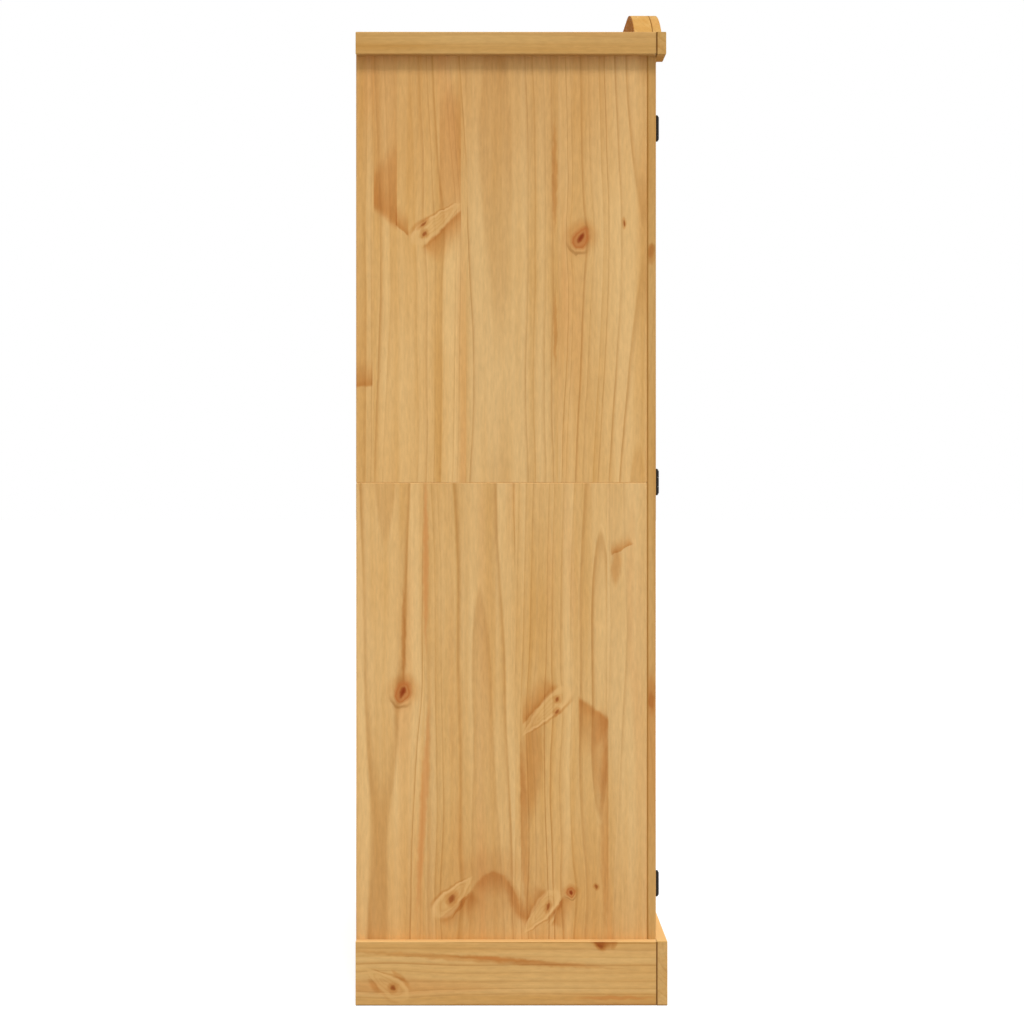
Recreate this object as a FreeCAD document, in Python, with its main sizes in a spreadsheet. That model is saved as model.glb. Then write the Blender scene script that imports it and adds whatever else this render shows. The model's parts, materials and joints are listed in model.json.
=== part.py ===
# Waxed pine wardrobe with two hinged doors, an arched crest and a plinth, in millimetres.
# The frame has +Z up and the doors face -Y. The origin is at floor level under the middle of
# the overall box, which reaches from the backs of the sides to the tips of the knobs.

import FreeCAD
import Part
import Sketcher
import math
import os
import re

# Driving sizes. Each is set here once, and everything else follows from these.
SIZES = {
    # carcass sides, each of two panels butted at the seam
    "carcass_width": 884,
    "side_depth": 487,
    "side_height": 1605,
    "side_thick": 18,
    "seam_height": 871,
    "edge_ease": 1,
    "overrun": 1,
    # dowels across the side seams
    "dowel_radius": 4,
    "dowel_length": 40,
    "dowel_play": 0.1,
    "dowel_end_play": 0.5,
    # face frame
    "frame_thick": 15,
    "stile_width": 45,
    "frame_top_rail": 48,
    "frame_bottom_rail": 48,
    # top board, the strips along its sides, and the crest across its front
    "top_thick": 18,
    "strip_thick": 16,
    "strip_height": 37,
    "crest_thick": 16,
    "crest_rise": 77,
    "crest_shoulder": 215,
    "crest_ear": 75,
    "arch_rise": 24,
    "arch_shoulder": 175,
    "backing_thick": 31,
    # plinth boards and the curved feet of the front one
    "plinth_thick": 18,
    "plinth_height": 107,
    "foot_length": 112,
    "foot_rise": 30,
    "foot_shoulder": 78,
    # inside floor and the cleats under it and under the hat shelf
    "floor_height": 118,
    "floor_thick": 18,
    "cleat_width": 20,
    "cleat_height": 30,
    "cleat_setback": 18,
    # hat shelf
    "shelf_drop": 233,
    "shelf_thick": 18,
    "shelf_setback": 25,
    # hanging rail and its sockets
    "rail_drop": 58,
    "rail_radius": 12.5,
    "rail_wall": 1.2,
    "rail_play": 0.15,
    "socket_plate_width": 34,
    "socket_plate_height": 50,
    "socket_plate_thick": 3,
    "socket_wall": 2,
    "socket_depth": 14,
    # back boards and the rails that carry them
    "back_thick": 8,
    "back_rebate": 9,
    "back_play": 0.5,
    "back_low": 22,
    "back_tongue": 6,
    "back_rail_thick": 18,
    "back_rail_height": 60,
    "fixing_rail_thick": 26,
    "fixing_rail_height": 80,
    "fixing_rail_lap": 22,
    "fixing_hole_radius": 3,
    "fixing_hole_drop": 30,
    "fixing_spacing": 600,
    # matchboards, of the back and of the door panels
    "board_gap": 0.3,
    "board_vee": 2,
    "tongue_play": 0.2,
    "tongue_share": 0.34,
    # glue blocks inside the plinth
    "block_leg": 26,
    "block_lift": 6,
    # doors
    "door_thick": 20,
    "door_gap": 2,
    "door_middle_share": 0.524,
    "door_stile_width": 68,
    "door_top_rail": 72,
    "door_middle_rail": 84,
    "door_bottom_rail": 104,
    "panel_thick": 10,
    "panel_tongue": 6,
    "panel_play": 1,
    "groove_depth": 10,
    "groove_play": 0.1,
    # door stop, magnetic catches and the strike plates on the doors
    "stop_depth": 24,
    "stop_lap": 10,
    "stop_gap": 0.3,
    "catch_width": 44,
    "catch_depth": 20,
    "catch_height": 14,
    "catch_from_middle": 48,
    "strike_width": 36,
    "strike_height": 11,
    "strike_thick": 1.2,
    # butt hinges, with the barrel in front of the doors
    "hinge_foot": 72,
    "hinge_head": 84,
    "hinge_length": 38,
    "hinge_proud": 4.5,
    "knuckle_radius": 4,
    "knuckle_end": 11,
    "knuckle_gap": 0.3,
    "pin_radius": 2,
    "pin_play": 0.05,
    "leaf_thick": 1.5,
    "leaf_width": 12,
    "leaf_gap": 0.3,
    # knobs, square and drawn to a blunt point, each on a plate and held by a bolt
    "knob_lift": 88,
    "knob_half": 14,
    "knob_tip_half": 4,
    "knob_neck_half": 5.5,
    "knob_collar_half": 9,
    "knob_length": 27,
    "knob_collar_share": 0.1,
    "knob_neck_share": 0.4,
    "knob_flare_share": 0.55,
    "knob_crown_share": 0.68,
    "knob_bore_depth": 16,
    "knob_plate_radius": 27,
    "knob_plate_flat": 5,
    "knob_plate_thick": 2,
    "bolt_radius": 2,
    "bolt_head_radius": 4.5,
    "bolt_head_height": 2.2,
    "bolt_play": 0.1,
    "bolt_end_play": 1,
}

# Counts, and places along a piece as shares of its length.
FASTENER_SIDES = 8
BACK_BOARD_COUNT = 9
PANEL_BOARD_COUNT = 3
DOWEL_SHARES = (0.14, 0.5, 0.86)
HANDS = (("left", -1), ("right", 1))
HINGES = ("hinge_low", "hinge_middle", "hinge_high")

# Places worked out from the driving sizes. Each formula may name any size or place.
PLACES = {
    # distances from the middle plane
    "half_width": "carcass_width / 2",
    "inner_half": "half_width - side_thick",
    "opening_half": "half_width - stile_width",
    "strip_outer": "half_width + strip_thick",
    "plinth_outer": "half_width + plinth_thick",
    "door_outer": "opening_half - door_gap",
    "door_inner": "door_gap / 2",
    "door_panel_outer": "door_outer - door_stile_width",
    "door_panel_inner": "door_inner + door_stile_width",
    # planes from front to back
    "knob_reach": "knob_plate_thick + knob_length",
    "back_y": "(side_depth + frame_thick + knob_reach) / 2",
    "frame_back_y": "back_y - side_depth",
    "face_y": "frame_back_y - frame_thick",
    "door_back_y": "face_y + door_thick",
    "panel_front_y": "face_y + (door_thick - panel_thick) / 2",
    "panel_back_y": "panel_front_y + panel_thick",
    "board_front_y": "back_y - back_thick",
    "back_rail_y": "board_front_y - back_rail_thick",
    # levels
    "top_z": "side_height + top_thick",
    "strip_z": "top_z - strip_height",
    "opening_top": "side_height - frame_top_rail",
    "floor_under": "floor_height - floor_thick",
    "shelf_height": "side_height - shelf_drop",
    "shelf_under": "shelf_height - shelf_thick",
    "fixing_rail_z": "side_height - fixing_rail_height",
    "back_top": "fixing_rail_z + fixing_rail_lap",
    "door_bottom": "floor_height + door_gap",
    "door_top": "opening_top - door_gap",
    "hinge_low": "door_bottom + hinge_foot",
    "hinge_middle": "door_bottom + (door_top - door_bottom) * door_middle_share",
    "hinge_high": "door_top - hinge_head",
    "lower_panel_z": "door_bottom + door_bottom_rail",
    "middle_rail_z": "hinge_middle - door_middle_rail / 2",
    "upper_panel_z": "hinge_middle + door_middle_rail / 2",
    "top_rail_z": "door_top - door_top_rail",
    "stop_z": "opening_top - stop_lap",
    "catch_z": "stop_z - catch_height",
    "knob_height": "hinge_middle + knob_lift",
    "rail_z": "shelf_under - rail_drop",
    # curves of the crest and the plinth, each an arc level at its top end
    "crest_reach": "strip_outer - crest_ear",
    "crest_level": "crest_reach - crest_shoulder",
    "crest_radius": "(crest_shoulder ^ 2 + crest_rise ^ 2) / (2 * crest_rise)",
    "arch_level": "crest_reach - arch_shoulder",
    "arch_radius": "(arch_shoulder ^ 2 + arch_rise ^ 2) / (2 * arch_rise)",
    "foot_reach": "plinth_outer - foot_length",
    "foot_level": "foot_reach - foot_shoulder",
    "foot_radius": "(foot_shoulder ^ 2 + foot_rise ^ 2) / (2 * foot_rise)",
    # matchboards: the pitch lets the last tongue end at the far edge
    "back_half": "inner_half + back_rebate - back_play",
    "back_pitch": f"(2 * back_half + board_gap - back_tongue) / {BACK_BOARD_COUNT}",
    "panel_tuck": "groove_depth - panel_play",
    "panel_width": "door_panel_outer - door_panel_inner + 2 * panel_tuck",
    "panel_pitch": f"(panel_width + board_gap - panel_tongue) / {PANEL_BOARD_COUNT}",
    # hinges
    "hinge_x": "opening_half - door_gap / 2",
    "hinge_y": "face_y - hinge_proud",
    "housing_depth": "leaf_thick + leaf_gap / 2 - door_gap / 2",
    "knuckle_middle": "hinge_length - 2 * knuckle_end - 2 * knuckle_gap",
    "pin_bore_radius": "pin_radius + pin_play",
    "tab_depth": "hinge_proud - (knuckle_radius + pin_bore_radius) / 2",
    # hanging rail
    "socket_bore_radius": "rail_radius + rail_play",
    "socket_cup_radius": "socket_bore_radius + socket_wall",
    "rail_half_length": "inner_half - socket_plate_thick",
    "rail_y": "(door_back_y + board_front_y) / 2",
    # knobs
    "knob_x": "door_inner + door_stile_width / 2",
    "bolt_length": "door_thick + knob_plate_thick + knob_bore_depth - bolt_end_play",
    "bolt_bore_radius": "bolt_radius + bolt_play",
    "knob_root_y": "face_y - knob_plate_thick",
    "knob_collar_y": "knob_root_y - knob_length * knob_collar_share",
    "knob_neck_y": "knob_root_y - knob_length * knob_neck_share",
    "knob_flare_y": "knob_root_y - knob_length * knob_flare_share",
    "knob_crown_y": "knob_root_y - knob_length * knob_crown_share",
    "knob_tip_y": "knob_root_y - knob_length",
}

LEFTWARD = FreeCAD.Vector(-1, 0, 0)
RIGHTWARD = FreeCAD.Vector(1, 0, 0)
FORWARD = FreeCAD.Vector(0, -1, 0)
BACKWARD = FreeCAD.Vector(0, 1, 0)
UPWARD = FreeCAD.Vector(0, 0, 1)

document = FreeCAD.newDocument("wardrobe")
sub_parts = []


def make_sheet(name, cells):
    """Put each value or formula in column B, beside its name, with the name as its alias."""
    sheet = document.addObject("Spreadsheet::Sheet", name)
    for row, (alias, content) in enumerate(cells.items(), start=1):
        sheet.set(f"A{row}", alias)
        sheet.set(f"B{row}", content)
        sheet.setAlias(f"B{row}", alias)
    return sheet


def bound(expression):
    """Write the sheet's name before every size and place that the expression names."""
    def full_name(word):
        if word.group() in SIZES:
            return "sizes." + word.group()
        if word.group() in PLACES:
            return "places." + word.group()
        return word.group()
    return re.sub(r"[a-z_]+", full_name, expression)


sizes = make_sheet("sizes", {alias: str(value) for alias, value in SIZES.items()})
places = make_sheet("places", {alias: "=" + bound(formula) for alias, formula in PLACES.items()})
document.recompute()


def value(expression):
    """The number that an expression gives."""
    return float(places.evalExpression(bound(expression)))


def bind(thing, setting, expression):
    thing.setExpression(setting, bound(expression))


def place(thing, spot, turn=None):
    """Put a thing at a spot given by three expressions, turned first where a turn is given."""
    if turn is not None:
        thing.Placement = FreeCAD.Placement(FreeCAD.Vector(), turn)
    for axis, expression in zip("xyz", spot):
        bind(thing, f"Placement.Base.{axis}", expression)


def towards(direction):
    """The turn that lays the local Z axis along a direction."""
    return FreeCAD.Rotation(UPWARD, direction)


def mirrored(hand, distance):
    """A distance from the middle plane, as a place on the left or on the right."""
    return f"-({distance})" if hand < 0 else distance


def span(hand, near, far):
    """A stretch between two distances from the middle plane, lowest first."""
    return (f"-({far})", f"-({near})") if hand < 0 else (near, far)


def outward(hand):
    return LEFTWARD if hand < 0 else RIGHTWARD


class Piece:
    """A body with a corner of its own. Its features are placed in the wardrobe's frame."""

    def __init__(self, name, corner=("0", "0", "0"), turn=None):
        self.name = name
        self.corner = corner
        self.body = document.addObject("PartDesign::Body", name)
        self.body.Label = name
        place(self.body, corner, turn)

    def feature(self, kind, name):
        return self.body.newObject(f"PartDesign::{kind}", f"{self.name}_{name}")

    def put(self, feature, spot, turn=None):
        """Place a feature inside the body, at a spot of the wardrobe's frame."""
        inside = [f"({there}) - ({corner})" for there, corner in zip(spot, self.corner)]
        place(feature, inside, turn)

    def block(self, kind, name, x, y, z):
        """Add or cut a block, given by its lowest and highest place along each axis."""
        block = self.feature(kind, name)
        self.put(block, (x[0], y[0], z[0]))
        for side, (low, high) in zip(("Length", "Width", "Height"), (x, y, z)):
            bind(block, side, f"({high}) - ({low})")
        return block

    def cut(self, name, x, y, z):
        return self.block("SubtractiveBox", name, x, y, z)

    def cylinder(self, kind, name, spot, direction, radius, length):
        """Add or cut a cylinder from a spot, for a length in a direction."""
        round_rod = self.feature(kind, name)
        self.put(round_rod, spot, towards(direction))
        bind(round_rod, "Radius", radius)
        bind(round_rod, "Height", length)

    def prism(self, kind, name, spot, direction, radius, length):
        """Add or cut the many-sided rod of a fastener, like a cylinder."""
        sided_rod = self.feature(kind, name)
        self.put(sided_rod, spot, towards(direction))
        sided_rod.Polygon = FASTENER_SIDES
        bind(sided_rod, "Circumradius", radius)
        bind(sided_rod, "Height", length)

    def drill(self, name, spot, direction, radius, length):
        self.prism("SubtractivePrism", name, spot, direction, radius, length)

    def taper(self, name, front, back, front_half, back_half):
        """Add a square bar about the body's corner, between a front and a back plane."""
        bar = self.feature("AdditiveWedge", name)
        bind(bar, "Ymin", f"({front}) - ({self.corner[1]})")
        bind(bar, "Ymax", f"({back}) - ({self.corner[1]})")
        for axis in "XZ":
            bind(bar, f"{axis}min", f"-{front_half}")
            bind(bar, f"{axis}max", front_half)
            bind(bar, f"{axis}2min", f"-{back_half}")
            bind(bar, f"{axis}2max", back_half)

    def ease(self):
        """Take the sharpness off every edge of the shape made so far."""
        eased = self.feature("Chamfer", "eased")
        eased.Base = (self.body.Group[-2], [])
        eased.UseAllEdges = True
        bind(eased, "Size", "edge_ease")

    def ease_face(self, direction):
        """Take the sharpness off the edges round the flat face that looks in a direction."""
        document.recompute()
        base = self.body.Tip
        rim = []
        for face in base.Shape.Faces:
            if face.Surface.TypeId == "Part::GeomPlane" and face.normalAt(0, 0).isEqual(direction, 1e-6):
                rim += [edge.hashCode() for edge in face.Edges]
        names = [f"Edge{number}" for number, edge in enumerate(base.Shape.Edges, start=1)
                 if edge.hashCode() in rim]
        eased = self.feature("Chamfer", "eased")
        eased.Base = (base, names)
        bind(eased, "Size", "edge_ease")

    def profile(self, role, corners):
        """Draw a closed outline on an origin plane of the body.

        Each corner is two expressions, across and up. Where two more follow, the side that
        leaves the corner is an arc: the first says how it bends, 1 to the left and -1 to the
        right, and the second is its radius.
        """
        sketch = self.body.newObject("Sketcher::SketchObject", f"{self.name}_outline")
        plane = next(item for item in self.body.Origin.OriginFeatures if item.Role == role)
        sketch.AttachmentSupport = [(plane, "")]
        sketch.MapMode = "FlatFace"
        points = [FreeCAD.Vector(value(corner[0]), value(corner[1]), 0) for corner in corners]
        starts, ends = [], []
        for number, corner in enumerate(corners):
            here, there = points[number], points[(number + 1) % len(points)]
            bend = corner[2] if len(corner) > 2 else 0
            if bend:
                sketch.addGeometry(arc_between(here, there, bend, value(corner[3])), False)
                radius = sketch.addConstraint(
                    Sketcher.Constraint("Radius", number, value(corner[3])))
                bind(sketch, f"Constraints[{radius}]", corner[3])
            else:
                sketch.addGeometry(Part.LineSegment(here, there), False)
            starts.append(2 if bend < 0 else 1)
            ends.append(1 if bend < 0 else 2)
        for number, corner in enumerate(corners):
            following = (number + 1) % len(corners)
            sketch.addConstraint(Sketcher.Constraint(
                "Coincident", number, ends[number], following, starts[following]))
            for kind, expression, axis in (("DistanceX", corner[0], -2), ("DistanceY", corner[1], -1)):
                if abs(value(expression)) < Part.Precision.confusion():
                    sketch.addConstraint(
                        Sketcher.Constraint("PointOnObject", number, starts[number], axis))
                else:
                    distance = sketch.addConstraint(Sketcher.Constraint(
                        kind, -1, 1, number, starts[number], value(expression)))
                    bind(sketch, f"Constraints[{distance}]", expression)
        return sketch

    def pad(self, role, corners, thickness):
        """Give a closed outline a thickness, towards the front from XZ and upwards from XY."""
        padded = self.feature("Pad", "pad")
        padded.Profile = self.profile(role, corners)
        bind(padded, "Length", thickness)

    def turn(self, corners):
        """Turn a closed outline, given by radius and height, about the body's Z axis."""
        turned = self.feature("Revolution", "turned")
        turned.Profile = self.profile("XZ_Plane", corners)
        turned.ReferenceAxis = (turned.Profile[0], ["V_Axis"])


def arc_between(start, end, bend, radius):
    """The shorter arc of a radius from start to end, with its centre on the side it bends to."""
    chord = end - start
    across = FreeCAD.Vector(-chord.y, chord.x, 0).normalize() * bend
    depth = math.sqrt(max(radius ** 2 - (chord.Length / 2) ** 2, 0))
    centre = (start + end) / 2 + across * depth
    first, last = (start, end) if bend > 0 else (end, start)
    angles = [math.atan2(point.y - centre.y, point.x - centre.x) for point in (first, last)]
    return Part.ArcOfCircle(Part.Circle(centre, UPWARD, radius), *angles)


def keep(piece):
    """Count a piece's body, or a group, among the sub-parts that are written out."""
    sub_parts.append(piece.body if isinstance(piece, Piece) else piece)
    return piece


def board(name, x, y, z, eased=True):
    """A rectangular board, given by its lowest and highest place along each axis."""
    piece = Piece(name, (x[0], y[0], z[0]))
    piece.block("AdditiveBox", "blank", x, y, z)
    if eased:
        piece.ease()
    return piece


def copies(source, name, spots):
    """Linked copies of one body, one for each spot, with its turn."""
    links = []
    for number, (spot, turn) in enumerate(spots, start=1):
        link = document.addObject("App::Link", f"{name}_{number}")
        link.LinkedObject = source.body
        place(link, spot, turn)
        links.append(link)
    return links


def group(name, members):
    """One sub-part that holds several separate solids."""
    gathered = document.addObject("Part::Compound", name)
    gathered.Label = name
    gathered.Links = members
    return keep(gathered)


def matchboards(name, corner, pitch, thick, tongue, height, count):
    """Upright tongued and grooved boards side by side, with a vee at each joint."""
    shoulder = f"{pitch} - board_gap"
    tongue_near = f"{thick} * (1 - tongue_share) / 2"
    tongue_far = f"{thick} * (1 + tongue_share) / 2"
    single = Piece(name + "_single")
    single.pad("XY_Plane", (
        ("board_vee", "0"),
        (f"{shoulder} - board_vee", "0"),
        (shoulder, "board_vee"),
        (shoulder, tongue_near),
        (f"{shoulder} + {tongue}", tongue_near),
        (f"{shoulder} + {tongue}", tongue_far),
        (shoulder, tongue_far),
        (shoulder, f"{thick} - board_vee"),
        (f"{shoulder} - board_vee", thick),
        ("board_vee", thick),
        ("0", f"{thick} - board_vee"),
        ("0", f"{tongue_far} + tongue_play"),
        (f"{tongue} + tongue_play", f"{tongue_far} + tongue_play"),
        (f"{tongue} + tongue_play", f"{tongue_near} - tongue_play"),
        ("0", f"{tongue_near} - tongue_play"),
        ("0", "board_vee"),
    ), height)
    spots = [((f"{corner[0]} + {number} * {pitch}", corner[1], corner[2]), None)
             for number in range(count)]
    return group(name, copies(single, name + "_board", spots))


def side_panels(side, hand):
    """Lower and upper side panel, with a rebate for the back boards and dowels at the seam."""
    x = span(hand, "inner_half", "half_width")
    y = ("frame_back_y", "back_y")
    rebate_x = span(hand, "inner_half - overrun", "inner_half + back_rebate")
    rebate_y = ("board_front_y", "back_y + overrun")
    middle_x = mirrored(hand, "(inner_half + half_width) / 2")
    lower = board(f"side_{side}_lower", x, y, ("0", "seam_height"))
    lower.cut("rebate", rebate_x, rebate_y, ("-overrun", "seam_height + overrun"))
    upper = board(f"side_{side}_upper", x, y, ("seam_height", "side_height"))
    upper.cut("rebate", rebate_x, rebate_y, ("seam_height - overrun", "back_top"))
    hole_depth = "dowel_length / 2 + dowel_end_play"
    spots = []
    for number, share in enumerate(DOWEL_SHARES, start=1):
        y_here = f"frame_back_y + side_depth * {share}"
        seam = (middle_x, y_here, "seam_height")
        lower.drill(f"dowel_hole_{number}", seam, -UPWARD, "dowel_radius + dowel_play", hole_depth)
        upper.drill(f"dowel_hole_{number}", seam, UPWARD, "dowel_radius + dowel_play", hole_depth)
        spots.append(((middle_x, y_here, "seam_height - dowel_length / 2"), None))
    keep(lower)
    keep(upper)
    return spots


# Beech dowel, standing on its origin.
dowel = Piece("dowel")
dowel.prism("AdditivePrism", "rod", ("0", "0", "0"), UPWARD, "dowel_radius", "dowel_length")
dowel_spots = [spot for side, hand in HANDS for spot in side_panels(side, hand)]
group("side_dowels", copies(dowel, "side_dowel", dowel_spots))


def house_hinges(piece, hand, near, far):
    """House three hinge leaves in the edge of a stile."""
    for hinge in HINGES:
        piece.cut(f"{hinge}_housing", span(hand, near, far),
                  ("face_y - overrun", "face_y + leaf_width"),
                  (f"{hinge} - hinge_length / 2", f"{hinge} + hinge_length / 2"))


# Face frame: two stiles from floor to top board, and a rail above and below the doors.
for side, hand in HANDS:
    stile = board(f"face_stile_{side}", span(hand, "opening_half", "half_width"),
                  ("face_y", "frame_back_y"), ("0", "side_height"))
    house_hinges(stile, hand, "opening_half - overrun", "opening_half + housing_depth")
    keep(stile)
opening_x = ("-opening_half", "opening_half")
frame_y = ("face_y", "frame_back_y")
keep(board("face_top_rail", opening_x, frame_y, ("opening_top", "side_height")))
keep(board("face_bottom_rail", opening_x, frame_y, ("floor_height - frame_bottom_rail", "floor_height")))

# Top board, flush inside the strips that edge it along both sides.
keep(board("top_board", ("-half_width", "half_width"), ("face_y", "back_y"), ("side_height", "top_z")))
for side, hand in HANDS:
    keep(board(f"top_strip_{side}", span(hand, "half_width", "strip_outer"),
               ("face_y", "back_y"), ("strip_z", "top_z")))

# Crest board: level ears at both ends, an arched top edge and a shallower arch underneath.
crest = Piece("crest_board", ("0", "face_y", "strip_z"))
crest.pad("XZ_Plane", (
    ("-strip_outer", "0"),
    ("-crest_reach", "0", -1, "arch_radius"),
    ("-arch_level", "arch_rise"),
    ("arch_level", "arch_rise", -1, "arch_radius"),
    ("crest_reach", "0"),
    ("strip_outer", "0"),
    ("strip_outer", "strip_height"),
    ("crest_reach", "strip_height", 1, "crest_radius"),
    ("crest_level", "strip_height + crest_rise"),
    ("-crest_level", "strip_height + crest_rise", 1, "crest_radius"),
    ("-crest_reach", "strip_height"),
    ("-strip_outer", "strip_height"),
), "crest_thick")
crest.ease_face(FORWARD)
keep(crest)

# Backing block on the top board, cut to the same arch.
backing = Piece("crest_backing", ("0", "face_y + backing_thick", "top_z"))
backing.pad("XZ_Plane", (
    ("-crest_reach", "0"),
    ("crest_reach", "0", 1, "crest_radius"),
    ("crest_level", "crest_rise"),
    ("-crest_level", "crest_rise", 1, "crest_radius"),
), "backing_thick")
keep(backing)

# Plinth: a board along each side and, over their ends, a front board with curved feet.
for side, hand in HANDS:
    keep(board(f"plinth_{side}", span(hand, "half_width", "plinth_outer"),
               ("face_y", "back_y"), ("0", "plinth_height")))
plinth_front = Piece("plinth_front", ("0", "face_y", "0"))
plinth_front.pad("XZ_Plane", (
    ("-plinth_outer", "0"),
    ("-foot_reach", "0", -1, "foot_radius"),
    ("-foot_level", "foot_rise"),
    ("foot_level", "foot_rise", -1, "foot_radius"),
    ("foot_reach", "0"),
    ("plinth_outer", "0"),
    ("plinth_outer", "plinth_height"),
    ("-plinth_outer", "plinth_height"),
), "plinth_thick")
plinth_front.ease_face(FORWARD)
keep(plinth_front)

# Inside floor and hat shelf, each on a cleat along both sides and a rail along the back.
inner_x = ("-inner_half", "inner_half")
back_rail_y = ("back_rail_y", "board_front_y")
keep(board("bottom_board", inner_x, ("frame_back_y", "board_front_y"), ("floor_under", "floor_height")))
keep(board("hat_shelf", inner_x, ("door_back_y + shelf_setback", "board_front_y"),
           ("shelf_under", "shelf_height")))


def cleats(name, front, under):
    """A pair of cleats, one on each side, under a board."""
    pair = [board(f"{name}_{side}", span(hand, "inner_half - cleat_width", "inner_half"),
                  (front, "back_rail_y"), (f"{under} - cleat_height", under)).body
            for side, hand in HANDS]
    group(name, pair)


cleats("bottom_cleats", "frame_back_y", "floor_under")
cleats("shelf_cleats", "door_back_y + shelf_setback + cleat_setback", "shelf_under")


# Rails across the back: the top one also takes the two wall fixings.
keep(board("back_bottom_rail", inner_x, back_rail_y, ("0", "floor_under")))
keep(board("back_middle_rail", inner_x, back_rail_y, ("shelf_under - back_rail_height", "shelf_under")))
back_top_rail = board("back_top_rail", inner_x, ("back_y - fixing_rail_thick", "back_y"),
                      ("fixing_rail_z", "side_height"))
back_top_rail.cut("rebate", ("-inner_half - overrun", "inner_half + overrun"),
                  ("board_front_y", "back_y + overrun"), ("fixing_rail_z - overrun", "back_top"))
for side, hand in HANDS:
    spot = (mirrored(hand, "fixing_spacing / 2"), "back_y + overrun", "side_height - fixing_hole_drop")
    back_top_rail.cylinder("SubtractiveCylinder", f"fixing_hole_{side}", spot, FORWARD,
                           "fixing_hole_radius", "fixing_rail_thick + 2 * overrun")
keep(back_top_rail)

# Back boards, tongued and grooved, in the rebates of the sides and of the top rail.
matchboards("back_boards", ("-back_half", "board_front_y", "back_low"), "back_pitch", "back_thick",
            "back_tongue", "back_top - back_play - back_low", BACK_BOARD_COUNT)

# Triangular glue blocks in the four corners of the plinth.
block = Piece("glue_block")
block.pad("XY_Plane", (("0", "0"), ("block_leg", "0"), ("0", "block_leg")),
          "floor_under - cleat_height - block_lift")
group("glue_blocks", copies(block, "glue_block_at", [
    (("-inner_half", "frame_back_y", "block_lift"), FreeCAD.Rotation(UPWARD, 0)),
    (("inner_half", "frame_back_y", "block_lift"), FreeCAD.Rotation(UPWARD, 90)),
    (("inner_half", "back_rail_y", "block_lift"), FreeCAD.Rotation(UPWARD, 180)),
    (("-inner_half", "back_rail_y", "block_lift"), FreeCAD.Rotation(UPWARD, 270)),
]))

# Steel hanging rail, a tube whose ends lie in sockets on the side panels.
rail = Piece("hanging_rail", ("-rail_half_length", "rail_y", "rail_z"), towards(RIGHTWARD))
rail.turn((
    ("rail_radius - rail_wall", "0"),
    ("rail_radius", "0"),
    ("rail_radius", "2 * rail_half_length"),
    ("rail_radius - rail_wall", "2 * rail_half_length"),
))
keep(rail)
socket = Piece("rail_socket")
socket.block("AdditiveBox", "plate", ("-socket_plate_height / 2", "socket_plate_height / 2"),
             ("-socket_plate_width / 2", "socket_plate_width / 2"), ("0", "socket_plate_thick"))
socket.ease_face(UPWARD)
socket.cylinder("AdditiveCylinder", "cup", ("0", "0", "0"), UPWARD, "socket_cup_radius", "socket_depth")
socket.cylinder("SubtractiveCylinder", "cup_bore", ("0", "0", "socket_plate_thick"), UPWARD,
                "socket_bore_radius", "socket_depth")
group("rail_sockets", copies(socket, "rail_socket_at", [
    ((mirrored(hand, "inner_half"), "rail_y", "rail_z"), towards(-outward(hand)))
    for side, hand in HANDS
]))

# Door stop under the top board, with two magnetic catches screwed under it. The front of
# each catch just clears the strike plate on the closed door.
stop_front = "door_back_y + stop_gap"
keep(board("door_stop", inner_x, (stop_front, f"{stop_front} + stop_depth"), ("stop_z", "side_height")))
catch_front = f"{stop_front} + strike_thick"
group("door_catches", [
    board(f"catch_{side}",
          span(hand, "catch_from_middle - catch_width / 2", "catch_from_middle + catch_width / 2"),
          (catch_front, f"{catch_front} + catch_depth"), ("catch_z", "stop_z")).body
    for side, hand in HANDS
])


def leaf(name, hand, knuckles):
    """A hinge leaf about its own pin axis, with its knuckles given as (low, high) levels."""
    piece = Piece(name)
    thickness = span(hand, "leaf_gap / 2", "leaf_gap / 2 + leaf_thick")
    ends = ("-hinge_length / 2", "hinge_length / 2")
    piece.block("AdditiveBox", "plate", thickness, ("hinge_proud", "hinge_proud + leaf_width"), ends)
    for number, (low, high) in enumerate(knuckles, start=1):
        piece.block("AdditiveBox", f"tab_{number}", thickness, ("hinge_proud - tab_depth", "hinge_proud"),
                    (low, high))
        piece.cylinder("AdditiveCylinder", f"knuckle_{number}", ("0", "0", low), UPWARD,
                       "knuckle_radius", f"({high}) - ({low})")
    return piece


# Hinges: the frame leaf has the two end knuckles and the pin that is riveted into both, and
# the door leaf has the middle knuckle, which turns on that pin.
frame_leaf = leaf("frame_leaf", -1, (
    ("-hinge_length / 2", "knuckle_end - hinge_length / 2"),
    ("hinge_length / 2 - knuckle_end", "hinge_length / 2"),
))
frame_leaf.cylinder("AdditiveCylinder", "pin", ("0", "0", "-hinge_length / 2"), UPWARD,
                    "pin_radius", "hinge_length")
door_leaf = leaf("door_leaf", 1, (("-knuckle_middle / 2", "knuckle_middle / 2"),))
door_leaf.cylinder("SubtractiveCylinder", "pin_bore", ("0", "0", "-hinge_length / 2 - overrun"), UPWARD,
                   "pin_bore_radius", "hinge_length + 2 * overrun")


def hinge_spots(hand):
    """Where one side's hinges stand. The right ones are the left ones turned over."""
    turn = FreeCAD.Rotation(BACKWARD, 0 if hand < 0 else 180)
    return [((mirrored(hand, "hinge_x"), "hinge_y", hinge), turn) for hinge in HINGES]


for side, hand in HANDS:
    group(f"frame_leaves_{side}", copies(frame_leaf, f"frame_leaf_{side}", hinge_spots(hand)))


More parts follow.
